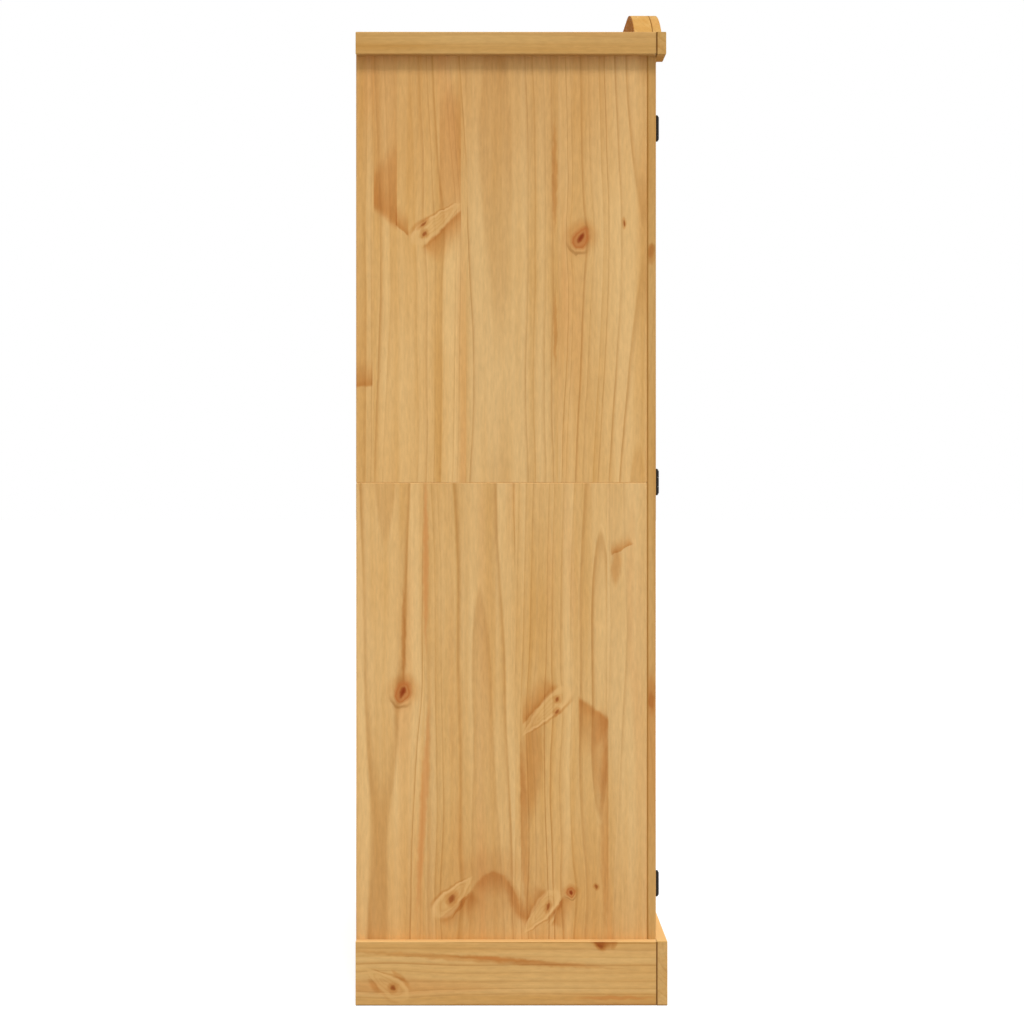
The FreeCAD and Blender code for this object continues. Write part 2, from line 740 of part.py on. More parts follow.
def door_rail(name, hand, z, tenon_z, groove_low, groove_high):
    """A door rail with a stub tenon at each end and a groove along each edge that holds a panel."""
    x = span(hand, "door_panel_inner", "door_panel_outer")
    rail = board(name, x, ("face_y", "door_back_y"), z)
    for side, near, far in (
            ("inner", "door_panel_inner - panel_tuck", "door_panel_inner + groove_depth"),
            ("outer", "door_panel_outer - groove_depth", "door_panel_outer + panel_tuck")):
        rail.block("AdditiveBox", f"{side}_tenon", span(hand, near, far),
                   ("panel_front_y", "panel_back_y"), tenon_z)
    groove_x = span(hand, "door_panel_inner - groove_depth - overrun",
                    "door_panel_outer + groove_depth + overrun")
    groove_y = ("panel_front_y - groove_play", "panel_back_y + groove_play")
    if groove_low:
        rail.cut("lower_groove", groove_x, groove_y, (f"{z[0]} - overrun", f"{z[0]} + groove_depth"))
    if groove_high:
        rail.cut("upper_groove", groove_x, groove_y, (f"{z[1]} - groove_depth", f"{z[1]} + overrun"))
    return keep(rail)


def door_stile(name, hand, near, far, groove):
    """A door stile, with a groove along its inner edge for the panels and tenons."""
    stile = board(name, span(hand, near, far), ("face_y", "door_back_y"), ("door_bottom", "door_top"))
    stile.cut("groove", span(hand, *groove), ("panel_front_y - groove_play", "panel_back_y + groove_play"),
              ("door_bottom - overrun", "door_top + overrun"))
    return keep(stile)


def clipped_diamond(radius, flat):
    """Corners of a square that stands on its point, with each point clipped to a flat."""
    return (
        (flat, f"-{radius}"), (radius, f"-{flat}"), (radius, flat), (flat, radius),
        (f"-{flat}", radius), (f"-{radius}", flat), (f"-{radius}", f"-{flat}"), (f"-{flat}", f"-{radius}"),
    )


def door(side, hand):
    """A frame-and-panel door with its panels, hinge leaves, knob and strike plate."""
    hinge_stile = door_stile(f"door_{side}_hinge_stile", hand, "door_panel_outer", "door_outer",
                             ("door_panel_outer - overrun", "door_panel_outer + groove_depth"))
    house_hinges(hinge_stile, hand, "door_outer - housing_depth", "door_outer + overrun")
    meeting_stile = door_stile(f"door_{side}_meeting_stile", hand, "door_inner", "door_panel_inner",
                               ("door_panel_inner - groove_depth", "door_panel_inner + overrun"))
    door_rail(f"door_{side}_top_rail", hand, ("top_rail_z", "door_top"),
              ("top_rail_z + groove_depth", "door_top"), True, False)
    door_rail(f"door_{side}_middle_rail", hand, ("middle_rail_z", "upper_panel_z"),
              ("middle_rail_z + groove_depth", "upper_panel_z - groove_depth"), True, True)
    door_rail(f"door_{side}_bottom_rail", hand, ("door_bottom", "lower_panel_z"),
              ("door_bottom", "lower_panel_z - groove_depth"), False, True)

    panel_x = span(hand, "door_panel_inner - panel_tuck", "door_panel_outer + panel_tuck")[0]
    for name, low, high in (("lower_panel", "lower_panel_z", "middle_rail_z"),
                            ("upper_panel", "upper_panel_z", "top_rail_z")):
        matchboards(f"door_{side}_{name}", (panel_x, "panel_front_y", f"{low} - panel_tuck"),
                    "panel_pitch", "panel_thick", "panel_tongue",
                    f"{high} - {low} + 2 * panel_tuck", PANEL_BOARD_COUNT)

    knob_x = mirrored(hand, "knob_x")
    bolt_start = (knob_x, "door_back_y", "knob_height")
    meeting_stile.drill("knob_bolt_hole", bolt_start, FORWARD, "bolt_bore_radius", "door_thick + overrun")
    plate = Piece(f"door_{side}_knob_plate", (knob_x, "face_y", "knob_height"))
    plate.pad("XZ_Plane", clipped_diamond("knob_plate_radius", "knob_plate_flat"), "knob_plate_thick")
    plate.ease_face(FORWARD)
    plate.drill("bolt_hole", bolt_start, FORWARD, "bolt_bore_radius",
                "door_thick + knob_plate_thick + overrun")
    keep(plate)
    knob = Piece(f"door_{side}_knob", (knob_x, "knob_root_y", "knob_height"))
    knob.taper("collar", "knob_collar_y", "knob_root_y", "knob_collar_half", "knob_collar_half")
    knob.taper("neck", "knob_neck_y", "knob_root_y", "knob_neck_half", "knob_neck_half")
    knob.taper("flare", "knob_flare_y", "knob_neck_y", "knob_half", "knob_neck_half")
    knob.taper("band", "knob_crown_y", "knob_flare_y", "knob_half", "knob_half")
    knob.taper("crown", "knob_tip_y", "knob_crown_y", "knob_tip_half", "knob_half")
    knob.drill("bolt_bore", (knob_x, "knob_root_y", "knob_height"), FORWARD, "bolt_bore_radius",
               "knob_bore_depth")
    keep(knob)
    bolt = Piece(f"door_{side}_knob_bolt", bolt_start)
    bolt.prism("AdditivePrism", "shank", bolt_start, FORWARD, "bolt_radius", "bolt_length")
    bolt.prism("AdditivePrism", "head", bolt_start, BACKWARD, "bolt_head_radius", "bolt_head_height")
    keep(bolt)

    group(f"door_{side}_leaves", copies(door_leaf, f"door_leaf_{side}", hinge_spots(hand)))
    strike_z = ("catch_z + (catch_height - strike_height) / 2", "catch_z + (catch_height + strike_height) / 2")
    strike = board(f"door_{side}_strike",
                   span(hand, "catch_from_middle - strike_width / 2", "catch_from_middle + strike_width / 2"),
                   ("door_back_y", "door_back_y + strike_thick"), strike_z, eased=False)
    keep(strike)


for side, hand in HANDS:
    door(side, hand)

document.recompute()
os.makedirs("parts", exist_ok=True)
for item in document.Objects:
    if "Invalid" in item.State or "Error" in item.State:
        raise RuntimeError(f"{item.Name} failed: {item.State}")
    if item.TypeId.startswith("PartDesign::Subtractive"):
        if item.Shape.Volume >= item.BaseFeature.Shape.Volume:
            raise RuntimeError(f"{item.Name} cuts nothing")
for item in sub_parts:
    if item.Shape.isNull() or not item.Shape.isValid():
        raise RuntimeError(f"{item.Label} has no valid shape")
    item.Shape.exportStep(f"parts/{item.Label}.step")
print(f"{len(sub_parts)} sub-parts written")
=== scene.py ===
# %% [markdown]
# A waxed pine wardrobe, dressed for its portrait.
#
# The joiner's work is already done: every board, rail, leaf and knob arrives as a solid of its own.
# What is left is what a finisher would do. The pine gets its grain, its knots and its wax, the iron
# gets its black lacquer, and the small screws that hold the fittings are driven in. Then the
# wardrobe is lit and photographed square from its left side.
#
# Each step starts with a note like this one: what the thing is on the real wardrobe, how it could be
# made, and why it is made this way here.

# %% Load the fixed frame
import json
import math

import bpy
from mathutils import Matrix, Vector


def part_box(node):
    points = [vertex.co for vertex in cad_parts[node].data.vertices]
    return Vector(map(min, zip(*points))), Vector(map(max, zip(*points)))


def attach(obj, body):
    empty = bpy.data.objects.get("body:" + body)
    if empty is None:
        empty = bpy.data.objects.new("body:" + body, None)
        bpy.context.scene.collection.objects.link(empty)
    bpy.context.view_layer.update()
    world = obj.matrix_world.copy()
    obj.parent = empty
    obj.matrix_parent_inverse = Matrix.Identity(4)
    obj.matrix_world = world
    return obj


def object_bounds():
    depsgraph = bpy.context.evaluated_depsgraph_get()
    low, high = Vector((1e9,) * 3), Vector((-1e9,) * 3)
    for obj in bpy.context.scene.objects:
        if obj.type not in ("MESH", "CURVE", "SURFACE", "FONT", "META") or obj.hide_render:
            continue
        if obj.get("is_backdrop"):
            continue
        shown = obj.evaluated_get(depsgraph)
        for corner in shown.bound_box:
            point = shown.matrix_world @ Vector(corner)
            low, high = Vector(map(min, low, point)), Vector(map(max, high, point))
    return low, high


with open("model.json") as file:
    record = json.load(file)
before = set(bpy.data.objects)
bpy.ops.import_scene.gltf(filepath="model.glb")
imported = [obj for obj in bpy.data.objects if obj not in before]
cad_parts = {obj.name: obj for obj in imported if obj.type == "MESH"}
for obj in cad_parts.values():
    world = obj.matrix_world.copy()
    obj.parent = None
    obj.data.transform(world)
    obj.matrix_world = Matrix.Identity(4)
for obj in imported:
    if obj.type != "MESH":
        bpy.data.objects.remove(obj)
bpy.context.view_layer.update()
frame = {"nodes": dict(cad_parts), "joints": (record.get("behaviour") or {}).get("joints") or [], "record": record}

# %% [markdown]
# Colours are easiest to read as the 0 to 255 numbers that a paint program shows, but a shader wants
# linear light. One small function turns the first into the second, so that the rest of the script can
# speak in familiar numbers.

# %% Colours
SRGB_KNEE = 0.04045


def tint(red, green, blue):
    """A linear colour from three screen values of 0 to 255."""
    def linear(level):
        level /= 255
        return level / 12.92 if level <= SRGB_KNEE else ((level + 0.055) / 1.055) ** 2.4
    return linear(red), linear(green), linear(blue), 1.0


print("waxed pine in linear light:", [round(part, 3) for part in tint(209, 165, 106)])

# %% [markdown]
# Wood grain is arithmetic: distances from the heart of the tree, cut into rings. Written as nodes it
# would be a page of boxes and links. A small class lets us write the sum as a sum, and adds the Math
# nodes for us. A Wire is a number that flows through one tree.

# %% Sums that become nodes
def feed(tree, item, socket):
    """Link a wire to a socket, or set the socket to a plain value."""
    if isinstance(item, Wire):
        tree.links.new(item.socket, socket)
    else:
        socket.default_value = item


def maths(tree, operation, *items):
    node = tree.nodes.new("ShaderNodeMath")
    node.operation = operation
    for item, socket in zip(items, node.inputs):
        feed(tree, item, socket)
    return Wire(tree, node.outputs[0])


class Wire:
    def __init__(self, tree, socket):
        self.tree = tree
        self.socket = socket

    def __add__(self, other):
        return maths(self.tree, "ADD", self, other)

    def __sub__(self, other):
        return maths(self.tree, "SUBTRACT", self, other)

    def __rsub__(self, other):
        return maths(self.tree, "SUBTRACT", other, self)

    def __mul__(self, other):
        return maths(self.tree, "MULTIPLY", self, other)

    def __truediv__(self, other):
        return maths(self.tree, "DIVIDE", self, other)

    def __pow__(self, other):
        return maths(self.tree, "POWER", self, other)

    __radd__ = __add__
    __rmul__ = __mul__

    def __abs__(self):
        return maths(self.tree, "ABSOLUTE", self)

    def floor(self):
        return maths(self.tree, "FLOOR", self)

    def fraction(self):
        return maths(self.tree, "FRACT", self)

    def root(self):
        return maths(self.tree, "SQRT", self)

    def below(self, limit):
        return maths(self.tree, "LESS_THAN", self, limit)

    def bell(self):
        """Near 1 for a small distance and near 0 for a large one."""
        return maths(self.tree, "EXPONENT", 0.0 - self * self)

    def ease(self, start, end, first=0.0, last=1.0):
        """Turn smoothly from one value to another as the wire runs from start to end."""
        node = self.tree.nodes.new("ShaderNodeMapRange")
        node.interpolation_type = "SMOOTHSTEP"
        for item, socket in zip((self, start, end, first, last), node.inputs):
            feed(self.tree, item, socket)
        return Wire(self.tree, node.outputs[0])


# %% [markdown]
# More helpers: the point that is being shaded, a point made of three wires, soft noise read at a
# point, and three random numbers that stay the same all over one cell. The last is how each glued board
# gets a character of its own.

# %% Points, noise and chance
def coordinates(tree, kind="Object"):
    """Three wires that say where the shaded point is: on a piece, in the frame's own metres."""
    where = tree.nodes.new("ShaderNodeTexCoord")
    split = tree.nodes.new("ShaderNodeSeparateXYZ")
    tree.links.new(where.outputs[kind], split.inputs[0])
    return [Wire(tree, socket) for socket in split.outputs]


def point(tree, x, y, z):
    node = tree.nodes.new("ShaderNodeCombineXYZ")
    for item, socket in zip((x, y, z), node.inputs):
        feed(tree, item, socket)
    return Wire(tree, node.outputs[0])


def noise(tree, spot, detail=2.0):
    """Soft noise about zero, one blob to a unit of the spot."""
    node = tree.nodes.new("ShaderNodeTexNoise")
    feed(tree, spot, node.inputs["Vector"])
    node.inputs["Scale"].default_value = 1.0
    node.inputs["Detail"].default_value = detail
    return Wire(tree, node.outputs[0]) - 0.5


def chances(tree, spot):
    """Three random numbers between 0 and 1, the same wherever the spot is the same."""
    dice = tree.nodes.new("ShaderNodeTexWhiteNoise")
    feed(tree, spot, dice.inputs["Vector"])
    split = tree.nodes.new("ShaderNodeSeparateColor")
    tree.links.new(dice.outputs["Color"], split.inputs[0])
    return [Wire(tree, socket) for socket in split.outputs]


def blend(tree, amount, under, over, mode="MIX"):
    """One colour laid over another."""
    node = tree.nodes.new("ShaderNodeMix")
    node.data_type = "RGBA"
    node.blend_type = mode
    sockets = {socket.identifier: socket for socket in node.inputs}
    feed(tree, amount, sockets["Factor_Float"])
    feed(tree, under, sockets["A_Color"])
    feed(tree, over, sockets["B_Color"])
    return Wire(tree, {socket.identifier: socket for socket in node.outputs}["Result_Color"])


# %% [markdown]
# A sum that is needed more than once goes into a node group. Three helpers start a group with its
# inputs, end it with its results, and run it on some values.

# %% Node groups
def start_group(name, labels):
    """An empty group, and a wire for each number that goes in."""
    tree = bpy.data.node_groups.new(name, "ShaderNodeTree")
    entry = tree.nodes.new("NodeGroupInput")
    for label in labels:
        tree.interface.new_socket(label, in_out="INPUT", socket_type="NodeSocketFloat")
    return tree, [Wire(tree, entry.outputs[label]) for label in labels]


def end_group(tree, results):
    """The group's results: a label, a kind of socket and a wire for each."""
    leave = tree.nodes.new("NodeGroupOutput")
    for label, kind, wire in results:
        tree.interface.new_socket(label, in_out="OUTPUT", socket_type="NodeSocket" + kind)
        feed(tree, wire, leave.inputs[label])
    print(tree.name, "group:", len(tree.nodes), "nodes")
    return tree


def use_group(tree, group, *values):
    """The results of a group for some values."""
    node = tree.nodes.new("ShaderNodeGroup")
    node.node_tree = group
    for item, socket in zip(values, node.inputs):
        feed(tree, item, socket)
    return [Wire(tree, socket) for socket in node.outputs]


# %% [markdown]
# Pine grain comes from the way a log grows. Each year adds a pale ring of soft early wood and a thin
# dark line of late wood. A flat board cuts those rings near their middle, so wide arches run up its
# face, and near its edges the lines crowd together. An image of wood would repeat and would not match
# from face to edge. Here the rings are solid: each glued board has a heart somewhere behind it, the
# heart wanders along the length, and a point's colour follows from its distance to the heart.
#
# The group below holds that rule once, for every board of the wardrobe. It also scatters small knots,
# which push the grain aside as a branch does.

# %% The pine group
EARLY = tint(223, 182, 121)
MIDDLE = tint(207, 158, 91)
LATE = tint(176, 120, 54)
ROSY = tint(213, 153, 90)
KNOT_BODY = tint(182, 106, 48)
KNOT_HEART = tint(134, 48, 0)

RING = 0.0115            # metres of growth in a year: fast-grown plantation pine
RING_UNEVEN = 1.6        # how many years the rings are uneven by
HEART_DEPTH = 0.04       # the least distance from a board's face to the heart
HEART_SPREAD = 0.05      # how much deeper the heart of another board may lie
HEART_ROLL = 0.045       # how far it rises and sinks along one board
WANDER = 0.07            # how far it strays sideways
QUIVER = 0.006           # small waves on top of that
KNOT_CELL = 0.42         # a board may have one knot in each such length
KNOT_LEAST = 0.004       # the radius of the smallest knot
KNOT_SPREAD = 0.007      # how much larger one may be


def pine_group():
    tree, (across, depth, along, width, seed, knots, contrast) = start_group(
        "pine", ("Across", "Depth", "Along", "Board width", "Seed", "Knots", "Contrast"))

    # Which board this is, and what chance gave it.
    board = (across / width).floor()
    local = across - (board + 0.5) * width
    side, deep, tone = chances(tree, point(tree, board, seed, 0.5))

    # The board's knot in this length, if it has one, and how far away it is.
    cell_place = (along + side * KNOT_CELL) / KNOT_CELL
    cell = cell_place.floor()
    place, rise, size = chances(tree, point(tree, board, cell, seed + 5.0))
    present, stretch, _ = chances(tree, point(tree, board, cell, seed + 9.0))
    present = present.below(knots)
    radius = size * KNOT_SPREAD + KNOT_LEAST
    beside = local - (place - 0.5) * width * 0.7
    above = (cell_place - cell - 0.3 - rise * 0.4) * KNOT_CELL
    push = ((beside / radius / 2.6) ** 2 + (above / radius / 5.5) ** 2).root().bell() * present
    rough = noise(tree, point(tree, across * 160, depth * 160, along * 110))
    reach = (beside ** 2 + (above * (0.55 + stretch * 0.35)) ** 2).root() / radius + rough * 0.5

    # The year that the wood here grew in, and how dark that year's late wood is.
    drift = noise(tree, point(tree, board * 7 + across * 1.5, seed * 3, along * 0.8 + deep * 40), 1.0)
    quiver = noise(tree, point(tree, across * 16, depth * 16 + seed, along * 5.0 + board * 3), 2.0)
    sway = drift * WANDER + quiver * QUIVER - beside * push * 0.8
    from_heart = local - (side - 0.5) * width * 0.9 + sway
    heart = noise(tree, point(tree, board * 11, seed * 5, along * 1.3 + tone * 30), 1.0)
    from_face = depth + HEART_DEPTH + deep * HEART_SPREAD + heart * HEART_ROLL
    years = (from_heart ** 2 + from_face ** 2).root() / RING
    years = years + noise(tree, point(tree, years * 0.7, seed, board), 0.0) * RING_UNEVEN
    year = years.floor()
    season = years.fraction()
    strong, warm, broad = chances(tree, point(tree, year, board, seed + 2.0))
    line = season.ease(0.5, 0.93) ** (1.6 + broad * 2.0) * season.ease(0.9, 1.0, 1.0, 0.0)
    swell = season.ease(0.0, 0.9) * season.ease(0.85, 1.0, 1.0, 0.0)
    patchy = noise(tree, point(tree, across * 22, seed * 7, along * 2.2), 1.0)
    late = line * (0.09 + strong * 0.4) * (1.0 + patchy * 2.6) + swell * broad * 0.14
    late = late * contrast

    # Noise of every size, from fibres to clouds.
    fibre = noise(tree, point(tree, across * 800, depth * 800, along * 12 + board), 2.0)
    fleck = noise(tree, point(tree, across * 260, depth * 260, along * 55 + board), 3.0)
    streak = noise(tree, point(tree, across * 48 + board * 4, depth * 48, along * 1.0 + seed), 3.0)
    cloud = noise(tree, point(tree, across * 9 + board * 5, depth * 9 + seed, along * 2.6), 3.0)
    blush = noise(tree, point(tree, across * 24 + board * 9, seed * 2, along * 1.6 + 4), 2.0)
    dash = noise(tree, point(tree, across * 1200, depth * 1200, along * 60), 0.0)

    colour = blend(tree, 0.45 + streak * 1.9 + cloud * 1.6 + (warm - 0.5) * 0.4, EARLY, MIDDLE)
    colour = blend(tree, blush.ease(0.02, 0.3) * 0.6, colour, ROSY)
    colour = blend(tree, late, colour, LATE)
    colour = blend(tree, dash.ease(0.22, 0.4) * 0.25, colour, LATE)
    shade = 1.0 + fibre * 0.10 + fleck * 0.28 + (tone - 0.5) * 0.10 + cloud * 0.10
    hue = (deep - 0.5) * 0.05 + fleck * 0.04
    colour = blend(tree, 1.0, colour, point(tree, shade, shade * (1.0 + hue * 0.3),
                                             shade * (1.0 + hue)), "MULTIPLY")
    halo = reach.ease(2.6, 0.9) * present
    body = reach.ease(1.1, 0.8) * present
    rings = (reach * 3.2).fraction().ease(0.4, 0.95)
    colour = blend(tree, halo * 0.4, colour, ROSY)
    colour = blend(tree, body * (0.7 + rings * 0.2), colour, KNOT_BODY)
    colour = blend(tree, reach.ease(0.7, 0.1) * present * 0.8, colour, KNOT_HEART)

    relief = late * 0.6 + fibre * 0.25 + fleck * 0.3 + body * 0.3
    sheen = 0.54 - late * 0.06 + fleck * 0.08
    return end_group(tree, (("Colour", "Color", colour), ("Relief", "Float", relief),
                            ("Roughness", "Float", sheen)))


PINE = pine_group()

# %% [markdown]
# The left side is the one that the camera sees, and its knots are landmarks: pointed ones, cut lengthwise, with
# brown flames beside them, and a few round ones. Each is listed below. One group measures a point against such a
# mark, whatever its tilt: how far along it lies, how far beside it, and its reach, which is 1 on an outline with
# drawn-out ends.

# %% The mark group
MILLIMETRE = 0.001


def mark_group():
    tree, (across, along, mark_across, mark_along, half_length, half_width, tilt) = start_group(
        "mark", ("Across", "Along", "Mark across", "Mark along", "Half length", "Half width", "Tilt"))
    beside, above = across - mark_across, along - mark_along
    turn, lean = maths(tree, "COSINE", tilt), maths(tree, "SINE", tilt)
    length = (above * turn - beside * lean) / half_length
    width = (beside * turn + above * lean) / half_width
    reach = abs(width) ** 1.4 + abs(length) ** 2.0
    return end_group(tree, (("Reach", "Float", reach), ("Length", "Float", length),
                            ("Width", "Float", width)))


MARK = mark_group()


def measure(tree, across, along, mark):
    """A place's reach, length and width in a mark's own terms."""
    *sizes, tilt = mark[1:6]
    return use_group(tree, MARK, across, along, *(size * MILLIMETRE for size in sizes),
                     math.radians(tilt))


# %% [markdown]
# How each kind of mark is painted. A shade is a soft brown stain, laid on by multiplying, so that the
# grain below still shows. A wash is a much weaker one, and a streak is a plain reddish band. A flame is
# a stain with a crisp edge on one side, where the grain of the knot meets the grain of the board, and it
# fades away from it. An arch is a flame bent over. A leaf is the pale body of a knot that was cut
# lengthwise, broad at its foot and drawn out at its tip, a core is its dark pith, and a knot is a round
# one. The order matters, as it does with real stains: washes go under, hearts go on top.

# %% Paint the marks
STAIN = (0.80, 0.59, 0.38, 1.0)  # what it multiplies the wood below by
WASH_DEPTH = 0.26                # how much of the stain each kind of mark takes
SHADE_DEPTH = 0.62
FLAME_DEPTH = 0.8
FLAME_EDGE_DEPTH = 0.32
HALO_DEPTH = 0.7
STREAK = tint(202, 132, 68)
LEAF = tint(219, 174, 110)
PALE_RIM_AND_HIGHLIGHT = tint(232, 188, 126)
RIM = tint(156, 102, 46)
PITH = tint(146, 72, 20)


def stained(tree, amount, colour):
    """Some of the stain, laid over a colour."""
    return blend(tree, amount, colour, STAIN, "MULTIPLY")


def paint_mark(tree, kind, reach, length, width, colour):
    """One mark, laid over the colour that the marks before it left."""
    if kind == "wash":
        return stained(tree, reach.ease(1.2, 0.1) * WASH_DEPTH, colour)
    if kind == "shade":
        return stained(tree, reach.ease(1.3, 0.2) * SHADE_DEPTH, colour)
    if kind == "streak":
        return blend(tree, reach.ease(1.2, 0.1) * 0.6, colour, STREAK)
    if kind == "flame":
        patch = width.ease(-0.12, 0.08) * width.ease(2.1, 0.0) * abs(length).ease(1.2, 0.8)
        edge = width.ease(-0.1, 0.04) * width.ease(0.5, 0.04) * abs(length).ease(1.1, 0.6)
        colour = stained(tree, patch * FLAME_DEPTH, colour)
        return stained(tree, edge * FLAME_EDGE_DEPTH, colour)
    if kind == "arch":
        band = reach.ease(1.08, 0.9) * reach.ease(0.1, 0.95) * length.ease(-0.5, 0.2)
        return stained(tree, band * SHADE_DEPTH, colour)
    if kind == "leaf":
        drop = abs(width / (1.0 - length * 0.62)) ** 1.6 + abs(length) ** 2.4
        rings = (drop ** 0.5 * 3.0).fraction().ease(0.3, 0.95)
        edge = abs(drop - 1.15).ease(0.5, 0.05) * abs(length).ease(1.0, 0.6)
        lower = width.ease(-0.2, 0.6, 0.35, 1.0)
        colour = stained(tree, edge * lower * 0.6, colour)
        colour = blend(tree, drop.ease(1.3, 0.75) * 0.36, colour, LEAF)
        colour = blend(tree, abs(drop - 0.8).ease(0.3, 0.05) * lower * 0.4, colour, PALE_RIM_AND_HIGHLIGHT)
        return stained(tree, rings * drop.ease(0.8, 0.4) * 0.24, colour)
    if kind == "core":
        colour = stained(tree, reach.ease(4.6, 1.0) * HALO_DEPTH, colour)
        return blend(tree, reach.ease(1.5, 0.1) * 0.85, colour, PITH)
    rings = (reach ** 0.5 * 2.2 + length * 0.15).fraction().ease(0.45, 0.95)
    halo = reach.ease(4.0, 1.0) * length.ease(-1.6, 1.0, 0.35, 0.9)
    crescent = abs(reach - 2.1).ease(0.6, 0.1) * length.ease(-0.5, -1.3)
    colour = stained(tree, halo * HALO_DEPTH, colour)
    colour = blend(tree, crescent * 0.55, colour, RIM)
    colour = blend(tree, reach.ease(1.5, 0.8) * (0.66 + rings * 0.25), colour, KNOT_BODY)
    return blend(tree, reach.ease(0.4, 0.01) * 0.95, colour, KNOT_HEART)


# Two kinds push the grain of the board aside: how far to each side, how far up and down, how hard.
PUSHES = {"leaf": (0.030, 0.075, 0.45), "knot": (0.022, 0.06, 0.7)}
print("kinds that push the grain aside:", ", ".join(PUSHES))

# %% [markdown]
# Every piece of pine gets a material of its own, made by one function. It needs to know which way the
# piece's grain runs. A joiner always runs it along the board, so the longest side of the piece's box
# tells us, apart from a few groups of pieces that are listed. The second longest side is the width of
# the face, and the shortest is its thickness.

# %% Pine for one piece
GRAIN = {"shelf_cleats": "y", "bottom_cleats": "y", "glue_blocks": "z"}
AXES = "xyz"
RAGGED = 0.007           # how far the edge of a mark strays across the board
JAGGED = 0.009           # and along it
CLEAN_EDGE = 0.002       # over how much a mark stops at the edge of its glued board
# A joint below is a line of painted shade or of painted highlight.
PAINTED_LIGHT_DEPTH = 0.75       # how much of its own colour a joint takes
RELIEF_STRENGTH = 0.5
RELIEF_HEIGHT = 0.0002   # metres that the darkest late wood stands out


def board_axes(node):
    """The axes along, across and through a piece, with its lowest corner and its middle."""
    low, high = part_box(node)
    extent = high - low
    order = sorted(range(3), key=lambda axis: -extent[axis])
    if node in GRAIN:
        along = AXES.index(GRAIN[node])
        order = [along] + [axis for axis in order if axis != along]
    return order, low, (low + high) / 2


def new_material(name):
    """A material with its tree and the surface node that the tree ends in."""
    material = bpy.data.materials.new(name)
    material.use_nodes = True
    return material, material.node_tree, material.node_tree.nodes["Principled BSDF"]


def add_relief(tree, surface, height, strength, distance):
    """A fine relief that is too shallow to model."""
    bump = tree.nodes.new("ShaderNodeBump")
    bump.inputs["Strength"].default_value = strength
    bump.inputs["Distance"].default_value = distance
    feed(tree, height, bump.inputs["Height"])
    tree.links.new(bump.outputs["Normal"], surface.inputs["Normal"])


def pine(node, seed, board_width=0.16, edge=None, knots=0.25, contrast=1.0, tone=1.0,
         marks=(), marked=None, joints=(), gloss=0.2):
    """Waxed pine for one piece. An edge is a place across it where two glued boards meet, a tone under 1 is darker
    wood, and the marked axis is the one that marks lie across, if not the width. Joints are lines of painted
    light: dark ones are painted shade in joints, along the floor and on a face turned from the light, and pale
    ones are painted highlight on edges that face the light and over a groove whose shade they even out. Each is an
    axis, a place on it, half a width and a colour. The gloss is how strongly the wax shines."""
    (along_axis, across_axis, depth_axis), low, middle = board_axes(node)
    material, tree, wax = new_material("pine_" + node)
    place = coordinates(tree)
    along, across = place[along_axis], place[across_axis]
    depth = place[depth_axis] - middle[depth_axis]
    marked_across = place[AXES.index(marked)] if marked else across

    grain_across = across - (low[across_axis] if edge is None else edge)
    spots = []
    if marks:
        ragged = noise(tree, point(tree, across * 80, along * 60, seed), 3.0) * RAGGED
        jagged = noise(tree, point(tree, across * 80, along * 60, seed + 3.0), 3.0) * JAGGED
        spots = [measure(tree, marked_across + ragged, along + jagged, mark) for mark in marks]
    for mark in marks:
        if mark[0] in PUSHES:
            wide, tall, force = PUSHES[mark[0]]
            beside, above = across - mark[1] * MILLIMETRE, along - mark[2] * MILLIMETRE
            spread = ((beside / wide) ** 2 + (above / tall) ** 2).root().bell()
            grain_across = grain_across - beside * spread * force
    colour, relief, sheen = use_group(tree, PINE, grain_across, depth, along, board_width, seed,
                                      knots, contrast)
    for mark, spot in zip(marks, spots):
        painted = paint_mark(tree, mark[0], *spot, colour)
        if len(mark) > 6:
            first, last = mark[6] * MILLIMETRE, mark[7] * MILLIMETRE
            inside = (marked_across - first).ease(0.0, CLEAN_EDGE)
            inside = inside * (last - marked_across).ease(0.0, CLEAN_EDGE)
            painted = blend(tree, inside, colour, painted)
        colour = painted
    # Lines of painted light: painted shade in the joints, along the floor and on a face turned from the light, and
    # painted highlight on edges that face it.
    for axis, line, half, painted_light in joints:
        off = abs(place[AXES.index(axis)] - line * MILLIMETRE)
        near = off.ease(half * MILLIMETRE * 1.5, half * MILLIMETRE * 0.5)
        colour = blend(tree, near * PAINTED_LIGHT_DEPTH, colour, painted_light)
    colour = blend(tree, 1.0, colour, (tone, tone ** 1.3, tone ** 2.2, 1), "MULTIPLY")

    feed(tree, colour, wax.inputs["Base Color"])
    feed(tree, sheen, wax.inputs["Roughness"])
    add_relief(tree, wax, relief, RELIEF_STRENGTH, RELIEF_HEIGHT)
    wax.inputs["IOR"].default_value = 1.0 + 2.0 * gloss
    wax.inputs["Specular IOR Level"].default_value = gloss
    return material


# %% [markdown]
# The marks of the left side: a kind, a place behind and above, two half sizes and a tilt in degrees
# that leans the top of the mark towards the front. The places are those of the frame: millimetres
# along the depth, where the front is negative, and above the floor. Two more numbers, where given,
# are the edges of the glued board that the mark stops at. A negative half width turns a flame over.

